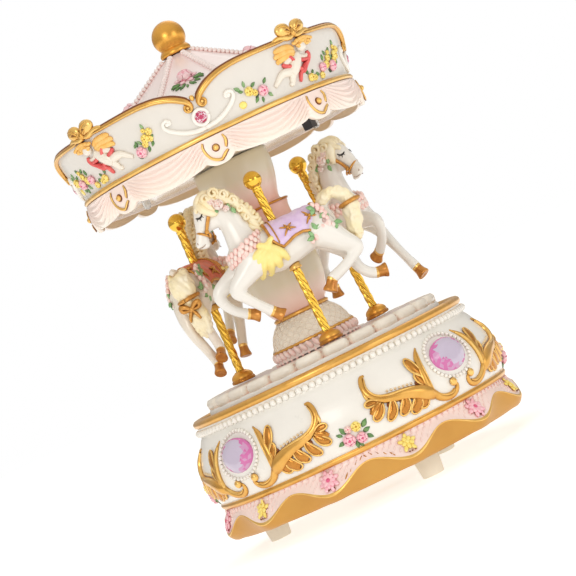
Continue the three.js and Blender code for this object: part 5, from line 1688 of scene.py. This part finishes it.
def horse_body(legs):
    """The bare animal as one smooth skin."""
    shape = Shape()
    add_limb(shape, [(x, 0, z, r) for x, z, r in TRUNK], BARE, TRUNK_WIDTH)
    for side in SIDES:
        add_ball(shape, (-12.8, side * 2.6, 39.4), (6.6, 4.6, 7.0), BARE, columns=16, rows=10)
        add_ball(shape, (12.6, side * 2.9, 38.8), (5.6, 4.2, 6.8), BARE, columns=16, rows=10)
    add_ball(shape, (17.0, 0, 40.8), (4.0, 4.8, 5.0), BARE, columns=16, rows=10)
    add_limb(shape, NECK, BARE, 0.74)
    add_head(shape)
    for leg, _ in legs:
        add_limb(shape, [(x, y, z, r + LEG_FILL) for x, y, z, r in leg], BARE, 0.88)
    add_limb(shape, TAIL_ROOT, BARE, 0.9)
    return melted(shape, 0.5, 6)


CLOTH_COLUMNS, CLOTH_ROWS = 28, 24
# Height of the cloth's hem at places forward of the pole: (places, heights)
CLOTH_HEM = ([-16, -15.2, -12.6, -10, -7, -3.4, -0.6, 2.2, 4.6],
             [42.0, 39.6, 37.6, 38.6, 39.6, 39.4, 38.2, 37.4, 41.4])
# Each fold of the bow runs through four points of (forward, up)
BOW_FANS = [
    [(6.0, 39.6), (9.6, 38.8), (12.6, 36.6), (14.4, 33.0)],
    [(5.8, 39.2), (8.8, 37.6), (11.6, 35.0), (12.8, 31.6)],
    [(5.6, 39.0), (7.8, 36.4), (9.6, 33.8), (10.4, 30.8)],
    [(5.2, 39.2), (6.4, 36.0), (7.0, 33.4), (7.2, 30.8)],
    [(4.8, 39.4), (4.6, 36.4), (4.2, 33.8), (3.6, 31.4)],
    [(4.4, 39.8), (2.8, 37.4), (1.4, 35.0), (0.2, 32.6)],
]
BOW_SECTIONS = [(0.3, 0.9), (1.2, 1.5), (1.2, 1.75),
                (0.3, 1.2)]  # (proud of the skin, radius) at those points
BAND_PETALS = 44
HIP_STEMS = [([(-14.8, 46.6), (-16.6, 43.0), (-15.8, 39.4), (-12.8, 37.0), (-9.0, 35.0)], "blossom_pink"),
             ([(-15.8, 39.4), (-17.8, 36.6), (-20.0, 34.6)], "blossom_pale"),
             ([(-12.8, 37.0), (-14.4, 33.6), (-17.4, 31.4)], "blossom_pale")]
HIP_LEAVES = [(-16.8, 42.4, 120), (-11.4, 38.0, -60), (-16.6, 35.6, -80), (-14.2, 45.2, 60),
              (-18.8, 38.0, 170), (-9.6, 35.8, 20)]
TAIL_LOCKS = 7
STRAP_SHARE = 0.45  # where the strap ties the tail, along its length


def add_head(shape):
    """The head with its jaw, muzzle, chin, ears and brows."""
    add_limb(shape, HEAD, BARE, 0.76)
    add_ball(shape, (19.9, 0, 57.6), (3.4, 2.6, 3.5), BARE, columns=14, rows=8)
    add_ball(shape, (26.9, 0, 51.6), (1.8, 1.9, 1.8), BARE, columns=12, rows=8)
    add_ball(shape, (25.2, 0, 50.5), (1.8, 1.6, 1.4), BARE, columns=12, rows=8)
    for side in SIDES:
        ear = [(17.6, side * 2.4, 63.2, 1.3), (17.2, side * 3.0, 65.0, 1.2), (16.8, side * 3.4, 66.6, 0.9),
               (16.6, side * 3.6, 67.6, 0.5)]
        add_limb(shape, ear, BARE, 0.7, sides=10, steps=4)
        add_ball(shape, (22.9, side * 2.2, 60.8), (1.4, 1.0, 1.0), BARE, columns=10, rows=6)


def add_blanket(shape, colour):
    """A saddle cloth over the back, a thin double skin, with a corded gold edge and an inner cord."""
    places = np.linspace(4.6, -15.6, CLOTH_COLUMNS + 1)
    outer, inner = [], []
    for x, low in zip(places, np.interp(places, *CLOTH_HEM)):
        height, radius = trunk_at(x)
        for skin, thick in ((outer, 1.0), (inner, 0.35)):
            reach = radius + thick
            end = math.acos(max(-0.6, min(0.95, (low - height) / reach)))
            for j in range(CLOTH_ROWS + 1):
                angle = end * (2 * j / CLOTH_ROWS - 1)
                fold = 0.16 * math.sin(x * 1.3 + 3 * angle) * (thick > 0.5)
                across = (TRUNK_WIDTH * reach + 0.5 + fold) * math.sin(angle)
                skin.append([x, across, height + (reach + fold) * math.cos(angle)])
    verts = np.array(outer + inner)
    width = CLOTH_ROWS + 1
    quads = ring_faces(CLOTH_COLUMNS + 1, width, wrap=False)
    faces = [tuple(reversed(face)) for face in quads]
    faces += [tuple(i + len(outer) for i in face) for face in quads]
    edge = list(range(CLOTH_ROWS)) + [i * width + CLOTH_ROWS for i in range(CLOTH_COLUMNS)]
    edge += [CLOTH_COLUMNS * width + j for j in range(CLOTH_ROWS, 0, -1)]
    edge += [i * width for i in range(CLOTH_COLUMNS, 0, -1)]
    for a, b in zip(edge, edge[1:] + edge[:1]):
        faces.append((b, a, a + len(outer), b + len(outer)))
    shape.add(verts, faces, colour)
    cord = [(*verts[i], 0.58) for i in edge[::2] + [edge[0]]]
    add_tube(shape, cord, "gold_strap", sides=8)
    inner_cord = [(*(verts[3 * width + j] + [0, 0, 0.25]), 0.3) for j in range(1, CLOTH_ROWS)]
    add_tube(shape, inner_cord, "gold_strap", sides=6)


def add_sprigs(shape):
    """Gold sprigs on both sides of the saddle cloth, and three studs behind it."""
    for side in SIDES:
        for x, z, lean in ((-2.6, 43.2, 0), (-11.6, 43.8, 35)):
            for angle, long in ((20 + lean, 3.0), (62 - lean, 1.7), (150 + lean, 2.2), (205, 3.1), (-48, 3.4),
                                (-110 + lean, 1.6)):
                turn = math.radians(angle)
                sprig = []
                for step, radius in ((0, 0.3), (0.5, 0.42), (1, 0.16)):
                    reach = long * step
                    point = flank(x + reach * math.cos(turn), z + reach * math.sin(turn), side, 1.15)
                    sprig.append((*(point + [0, side * 0.35, 0]), radius))
                add_tube(shape, smooth_path(sprig, 3), "gold_strap", sides=6)
            centre = flank(x, z, side, 1.4) + [0, side * 0.35, 0]
            add_ball(shape, centre, 0.62, "gold_strap", columns=8, rows=6)
    height, radius = trunk_at(-14.6)
    for y in (-3.2, 0, 3.2):
        centre = (-14.8, y, height + radius + 1.1 - 0.08 * y * y)
        add_ball(shape, centre, (1.1, 1.3, 0.8), "gold_strap", columns=10, rows=6)


def add_bow(shape, colour):
    """A big pleated bow behind each shoulder: soft broad folds, moulded together, under a small knot."""
    for side in SIDES:
        loose = Shape()
        for fan in BOW_FANS:
            rows = [(*flank(x + 1.5, z + 0.6, side, proud), radius)
                    for (x, z), (proud, radius) in zip(fan, BOW_SECTIONS)]
            add_tube(loose, smooth_path(rows, 5), colour, sides=11, flatten=0.8)
        knot = flank(6.9, 40.4, side, 1.0)
        add_ball(loose, knot, (1.7, 1.1, 1.4), colour, columns=12, rows=8)
        for x, z in ((4.6, 42.0), (9.4, 41.6)):
            rows = [(*knot, 0.9), (*flank(x, z, side, 0.9), 1.25),
                    (*flank(x * 1.1 - 0.4, z + 0.6, side, 0.7), 0.6)]
            add_tube(loose, smooth_path(rows, 5), colour, sides=8)
        verts, faces = melted(loose, 0.3, 1)
        shape.add(verts, faces, colour)


def ruffle(shape, points, colour, size):
    """A line of small overlapping petals, alternately up and down."""
    for i, (point, out) in enumerate(points):
        turn = axis_frame(out)
        shift = turn @ np.array([0, 0.45 * (-1) ** i, 0])
        add_ball(shape, np.asarray(point) + shift, (size, size * 0.8, size * 0.62), colour, turn, 8, 5)


def hip(forward, up):
    """How far the haunch bulges sideways, with a little to spare."""
    return 5.9 + 2.2 * math.exp(-((up - 39) / 4.5) ** 2) - 0.09 * max(0, -15 - forward) ** 2


def add_breast_band(shape):
    """Three rows of petals round the neck's root."""
    for first, drop, colour in ((0, 0, "blossom_pink"), (1, 1.7, "blossom_pale"), (0, 3.2, "blossom_pink")):
        row = []
        for i in range(first, BAND_PETALS):
            angle = 2 * math.pi * i / BAND_PETALS
            x, y = 13.2 + 7.4 * math.cos(angle), 7.2 * math.sin(angle)
            row.append(((x, y, 44.8 - 0.3 * (x - 13.2) - drop), (math.cos(angle), math.sin(angle), 0.15)))
        ruffle(shape, row, colour, 1.2)


def add_garlands(shape):
    """Sprays of blossom and leaves over the hips."""
    for side in SIDES:
        normal = (-0.1, side, 0.1)
        for line, colour in HIP_STEMS:
            path = smooth_path([(x, 0, z, 1) for x, z in line], 4)
            petals = [((x, side * hip(x, z), z), normal) for x, _, z, _ in path]
            ruffle(shape, petals, colour, 1.2)
        for x, z, angle in HIP_LEAVES:
            for turn in (0, 70):
                add_small_leaf(shape, (x, side * (hip(x, z) + 0.3), z), normal, 3.0, angle + turn)


def add_tail(shape, spine, colour):
    """A wavy tail: locks twisting round a spine of (forward, outwards, up, fullness), and a strap."""
    loose = Shape()
    curve = smooth_path(spine, 5)
    last = len(curve) - 1
    for k in range(TAIL_LOCKS):
        rows = []
        for i, (x, y, z, full) in enumerate(curve):
            angle = 2 * math.pi * k / TAIL_LOCKS + 0.16 * i
            spread = full * (0.68 + 0.16 * math.sin(0.9 * i + k))
            radius = max(0.35, 0.5 * full * (1 - 0.7 * (i / last) ** 6))
            rows.append((x + spread * math.cos(angle) * 0.8, y + spread * math.sin(angle),
                         z + spread * 0.4 * math.cos(angle + 1.0), radius))
        add_tube(loose, rows, colour, sides=10)
    for x, y, z, full in curve[2:last:3]:
        for side in SIDES:
            add_curl(loose, (x, y + side * 0.85 * full, z), side, 0.55 * full, colour)
    verts, faces = melted(loose, 0.32, 1)
    shape.add(verts, faces, colour)

    index = int(STRAP_SHARE * last)
    x, y, z, full = curve[index]
    turn = axis_frame(curve[index + 1][:3] - curve[index - 1][:3])
    reach = 1.3 * full
    ring = []
    for i in range(25):
        angle = 2 * math.pi * i / 24
        point = np.array([x, y, z]) + turn @ np.array([reach * math.cos(angle), reach * math.sin(angle), 0])
        ring.append((*point, 0.8))
    add_tube(shape, ring, "gold_strap", sides=8)


# Each leg: rows of (forward, outwards, up, radius), then the hoof's start and toe
NEAR_HIND = ([(-13.6, 3.2, 37.5, 6.0), (-18.4, 3.6, 31.4, 3.9), (-22.6, 3.4, 26.9, 2.25),
              (-20.0, 3.3, 24.6, 1.75), (-15.4, 3.2, 22.2, 1.6),
              (-10.2, 3.2, 20.4, 1.75)], ((-9.6, 3.2, 20.0), (-6.4, 3.2, 15.8)))
STANDING_HIND = ([(-13.6, 3.2, 37.5, 6.0), (-17.6, 3.5, 30.6, 3.8), (-19.8, 3.3, 25.0, 2.2),
                  (-18.8, 3.1, 20.6, 1.75), (-18.0, 3.0, 17.8, 1.7)], ((-17.9, 3.0, 17.2),
                  (-18.6, 3.0, 12.4)))
FAR_HIND = ([(-13.8, -3.2, 37.5, 5.8), (-18.2, -3.5, 30.6, 3.6), (-20.4, -3.4, 25.4, 2.1),
             (-21.2, -3.4, 20.6, 1.65), (-23.4, -3.4, 17.2, 1.6),
             (-25.6, -3.4, 15.8, 1.7)], ((-26.2, -3.4, 15.6), (-30.8, -3.4, 14.9)))
NEAR_FORE = ([(12.8, 3.4, 37.6, 5.4), (18.0, 3.9, 34.4, 3.7), (23.2, 3.6, 30.9, 2.35), (21.2, 3.6, 27.2, 1.7),
              (18.2, 3.5, 23.2, 1.5), (15.2, 3.5, 19.4, 1.65)], ((14.6, 3.5, 18.8), (11.4, 3.5, 15.3)))
FAR_FORE = ([(13.6, -3.2, 38.2, 5.2), (21.0, -3.8, 36.0, 3.5), (28.0, -3.6, 33.2, 2.25),
             (28.2, -3.5, 29.2, 1.7), (25.8, -3.5, 25.2, 1.5), (22.4, -3.5, 22.4, 1.6)], ((21.8, -3.5, 22.1),
             (17.6, -3.5, 19.8)))
STRETCHED_FORE = ([(13.0, 3.4, 37.6, 5.4), (16.6, 3.9, 33.0, 3.6), (19.6, 3.6, 28.4, 2.25),
                   (22.6, 3.5, 22.0, 1.6), (25.6, 3.4, 15.6, 1.45),
                   (27.8, 3.4, 11.2, 1.7)], ((28.1, 3.4, 10.4), (30.2, 3.4, 6.2)))
LOW_NEAR_HIND = ([(-13.6, 3.2, 37.5, 6.0), (-19.0, 3.2, 30.6, 3.6), (-21.4, 2.2, 24.0, 2.1),
                  (-20.0, 0.8, 18.0, 1.65), (-18.6, -0.4, 13.0, 1.6),
                  (-18.6, -1.0, 10.9, 1.7)], ((-18.9, -1.1, 10.3),
                  (-21.6, -1.5, 6.4)))
LOW_FAR_HIND = ([(-13.8, -3.2, 37.5, 5.8), (-19.2, -3.6, 31.0, 3.4), (-22.0, -3.8, 25.8, 2.1),
                 (-20.6, -4.2, 20.6, 1.65), (-19.4, -4.4, 17.0, 1.6),
                 (-19.6, -4.5, 15.5, 1.7)], ((-20.0, -4.6, 14.9),
                 (-23.4, -4.9, 11.6)))
LOW_FAR_FORE = ([(12.8, -3.4, 37.6, 5.2), (11.4, -4.2, 30.4, 3.4), (9.4, -4.4, 24.4, 2.2),
                 (6.0, -4.4, 18.6, 1.7), (3.2, -4.3, 14.6, 1.6), (2.2, -4.3, 13.2, 1.7)], ((1.9, -4.3, 12.8),
                 (0.8, -4.3, 8.1)))
RAISED_TAIL = [(-18.4, 0, 46.4, 2.0), (-22.8, 0, 48.4, 3.0), (-26.6, 0, 46.6, 3.2), (-28.0, 0, 42.4, 2.8),
               (-27.4, 0, 38.4, 3.2), (-25.8, 0, 34.4, 3.0), (-25.6, 0, 31.0, 2.4), (-23.6, 0, 28.0, 0.8)]
HANGING_TAIL = [(-17.6, 0, 45.8, 2.0), (-21.2, -1.0, 45.4, 3.3), (-23.4, -1.8, 41.2, 3.9),
                (-23.6, -2.4, 36.6, 3.0), (-23.4, -3.0, 32.4, 2.7), (-23.4, -3.6, 28.4, 3.1),
                (-22.8, -3.4, 24.6, 2.4), (-22.2, -3.2, 21.0, 0.8)]
NECK_FORWARD = 12.5


def add_tail_bow(shape, centre):
    """A gold bow with two loops, two tails and a knot."""
    x, y, z = centre
    for way in SIDES:
        loop = [(x, y, z, 0.5), (x - 0.4, y + way * 1.8, z + 1.5, 0.95),
                (x - 0.2, y + way * 3.6, z + 2.0, 1.0),
                (x, y + way * 3.3, z + 0.2, 0.8), (x, y, z, 0.5)]
        end = [(x, y, z, 0.6), (x - 0.3, y + way * 1.4, z - 2.2, 0.7), (x, y + way * 2.1, z - 4.2, 0.35)]
        add_tube(shape, smooth_path(loop, 4), "gold_strap", sides=8)
        add_tube(shape, smooth_path(end, 4), "gold_strap", sides=8)
    add_ball(shape, centre, 1.15, "gold_strap", columns=10, rows=6)


def turn_head(degrees):
    """Swings the head and upper neck sideways about the neck, more and more towards the poll."""
    def swing(verts):
        x, y, z = verts.T
        share = np.clip((z - 46.0) / 12.0, 0, 1) * (x > 0)
        share = share * share * (3 - 2 * share)
        angle = np.radians(degrees) * share
        ahead = x - NECK_FORWARD
        return np.stack([NECK_FORWARD + ahead * np.cos(angle) - y * np.sin(angle),
                         ahead * np.sin(angle) + y * np.cos(angle), z], 1)
    return swing


def build_horse(number, legs, tail, cloth, skin, head=0.0, bow_at=None):
    """A horse in three pieces: body, hair and trappings. head is how far it looks aside, in degrees."""
    stand, swing = pole_place(POLE_AZIMUTHS[number - 1]), turn_head(head)

    def finish(loose, look, replaces=()):
        placed = Shape()
        placed.merge(loose, lambda verts: stand(swing(verts)))
        placed.piece(f"horse_{number}_{look}", "carousel", "white_resin", replaces)

    body = Shape()
    body.add(*horse_body(legs), skin)
    for _, (start, toe) in legs:
        add_hoof(body, start, toe)
    add_face(body)
    collar = [(1.62, 29.0), (2.3, 29.0), (2.45, 29.5), (2.1, 30.0), (2.2, 31.2), (1.62, 31.2), (1.62, 29.0)]
    add_lathe(body, collar, "gold_light", 24)
    finish(body, "body", [f"horse_{number}"])

    hair = Shape()
    add_mane(hair, "mane_cream")
    add_tail(hair, tail, "mane_cream")
    if bow_at:
        add_tail_bow(hair, bow_at)
    finish(hair, "mane_and_tail")

    tack = Shape()
    add_blanket(tack, cloth)
    add_sprigs(tack)
    add_bow(tack, "bow_yellow")
    add_breast_band(tack)
    add_garlands(tack)
    add_head_flowers(tack)
    add_bridle(tack)
    finish(tack, "trappings")


build_horse(1, [NEAR_HIND, FAR_HIND, NEAR_FORE, FAR_FORE], RAISED_TAIL, "cloth_lavender", "horse_white")
build_horse(2, [STANDING_HIND, FAR_HIND, STRETCHED_FORE, FAR_FORE], RAISED_TAIL, "cloth_lavender",
            "horse_white",
            head=18)
# The horse furthest back is in a darker copy of the white: painted shade.
build_horse(3, [LOW_NEAR_HIND, LOW_FAR_HIND, NEAR_FORE, LOW_FAR_FORE], HANGING_TAIL, "cloth_coral",
            "horse_ivory",
            bow_at=(-26.4, -3.0, 32.6))

# ---------------------------------------------------------------- movement and fittings
WORKS = {
    "cover_cream": ["bottom_cover"],
    "zinc_cast": ["movement_bedplate", "governor_frame", "cylinder_bracket_inner", "cylinder_bracket_outer"],
    "steel_bright": ["comb", "comb_screw_1", "comb_screw_2", "spindle", "tie_rod", "tie_rod_nut",
                     "winding_arbor",
                     "cover_screw_1", "cover_screw_2", "cover_screw_3", "movement_screw_1",
                     "movement_screw_2",
                     "movement_screw_3", "button_cell_1", "button_cell_2"],
    "brass_turned": ["pin_cylinder", "spring_barrel", "spindle_bush", "winding_key"],
    "black_moulded": ["switch_body", "switch_slider", "battery_holder"],
    "grey_moulded": ["governor_fan"],
    "plate_white": ["canopy_floor"],
    "lamp_clear": ["led_1", "led_2", "led_3"],
}


def finish_works():
    """Gives every CAD part that stays in view, or inside, its own finish."""
    for finish, nodes in WORKS.items():
        for node in nodes:
            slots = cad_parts[node].data.materials
            slots.clear()
            slots.append(MATERIALS[finish])


finish_works()

# ---------------------------------------------------------------- camera, floor and light
SKY_LOW, SKY_HIGH = (0.27, 0.245, 0.215), (0.83, 0.80, 0.755)
FLOOR_HALF = 6.0
OBJECT_MIDDLE = (0, 0, 0.09)


def build_world(scene):
    """White behind the object; for its light, a soft sky that is warm and darker low down."""
    scene.world = bpy.data.worlds.new("world")
    scene.world.use_nodes = True
    tree = scene.world.node_tree
    place = tree.nodes.new("ShaderNodeTexCoord")
    split = add_node(tree, "ShaderNodeSeparateXYZ", {0: place.outputs["Generated"]})
    limits = {"From Min": -0.25, "From Max": 0.9}
    height = add_node(tree, "ShaderNodeMapRange", {"Value": split.outputs["Z"], **limits})
    sky = mix_colors(tree, height.outputs["Result"], (*SKY_LOW, 1), (*SKY_HIGH, 1))
    rays = tree.nodes.new("ShaderNodeLightPath")
    seen = mix_colors(tree, rays.outputs["Is Camera Ray"], sky, WHITE)
    feed(tree, tree.nodes["Background"], {"Color": seen})


def build_camera(scene):
    """Level with the object's middle, 0.95 m away in front, and rolled as the object is shown."""
    data = bpy.data.cameras.new("camera")
    data.lens = 162.5
    camera = bpy.data.objects.new("camera", data)
    scene.collection.objects.link(camera)
    place, target = Vector((-0.0007, -0.954, 0.0752)), Vector((-0.0007, 0, 0.0818))
    level = (target - place).to_track_quat("-Z", "Y").to_matrix().to_4x4()
    roll = Matrix.Rotation(math.radians(-25.9), 4, "Z")
    camera.matrix_world = Matrix.Translation(place) @ level @ roll
    scene.camera = camera


def build_floor(scene):
    """A big white square that glows a little, so that its far parts stay as pale as the background."""
    size = FLOOR_HALF
    mesh = bpy.data.meshes.new("floor")
    mesh.from_pydata([(-size, -size, 0), (size, -size, 0), (size, size, 0), (-size, size, 0)], [],
                     [(0, 1, 2, 3)])
    floor = bpy.data.objects.new("floor", mesh)
    scene.collection.objects.link(floor)
    tree = paint("floor_white", (0.9, 0.89, 0.88), 0.9, vary=0.01)
    feed(tree, tree.nodes["Principled BSDF"], {"Emission Color": WHITE, "Emission Strength": 0.5})
    mesh.materials.append(MATERIALS["floor_white"])


def soft_box(scene, name, location, size, power, color):
    data = bpy.data.lights.new(name, "AREA")
    data.shape = "RECTANGLE"
    data.size, data.size_y = size
    data.energy = power
    data.color = color
    lamp = bpy.data.objects.new(name, data)
    scene.collection.objects.link(lamp)
    lamp.location = location
    lamp.rotation_euler = (Vector(OBJECT_MIDDLE) - Vector(location)).to_track_quat("-Z", "Y").to_euler()


def build_stage():
    scene = bpy.context.scene
    scene.view_settings.view_transform = "Standard"
    build_camera(scene)
    build_world(scene)
    build_floor(scene)
    soft_box(scene, "key_light", (-0.3, -0.95, 0.45), (0.4, 0.4), 2.2, (1.0, 0.97, 0.92))
    soft_box(scene, "fill_light", (0.7, -0.7, 0.25), (0.4, 0.4), 1.0, (1.0, 0.97, 0.93))
    soft_box(scene, "back_light", (0.3, 0.8, 0.8), (0.6, 0.6), 0.8, (1.0, 0.98, 0.95))


build_stage()
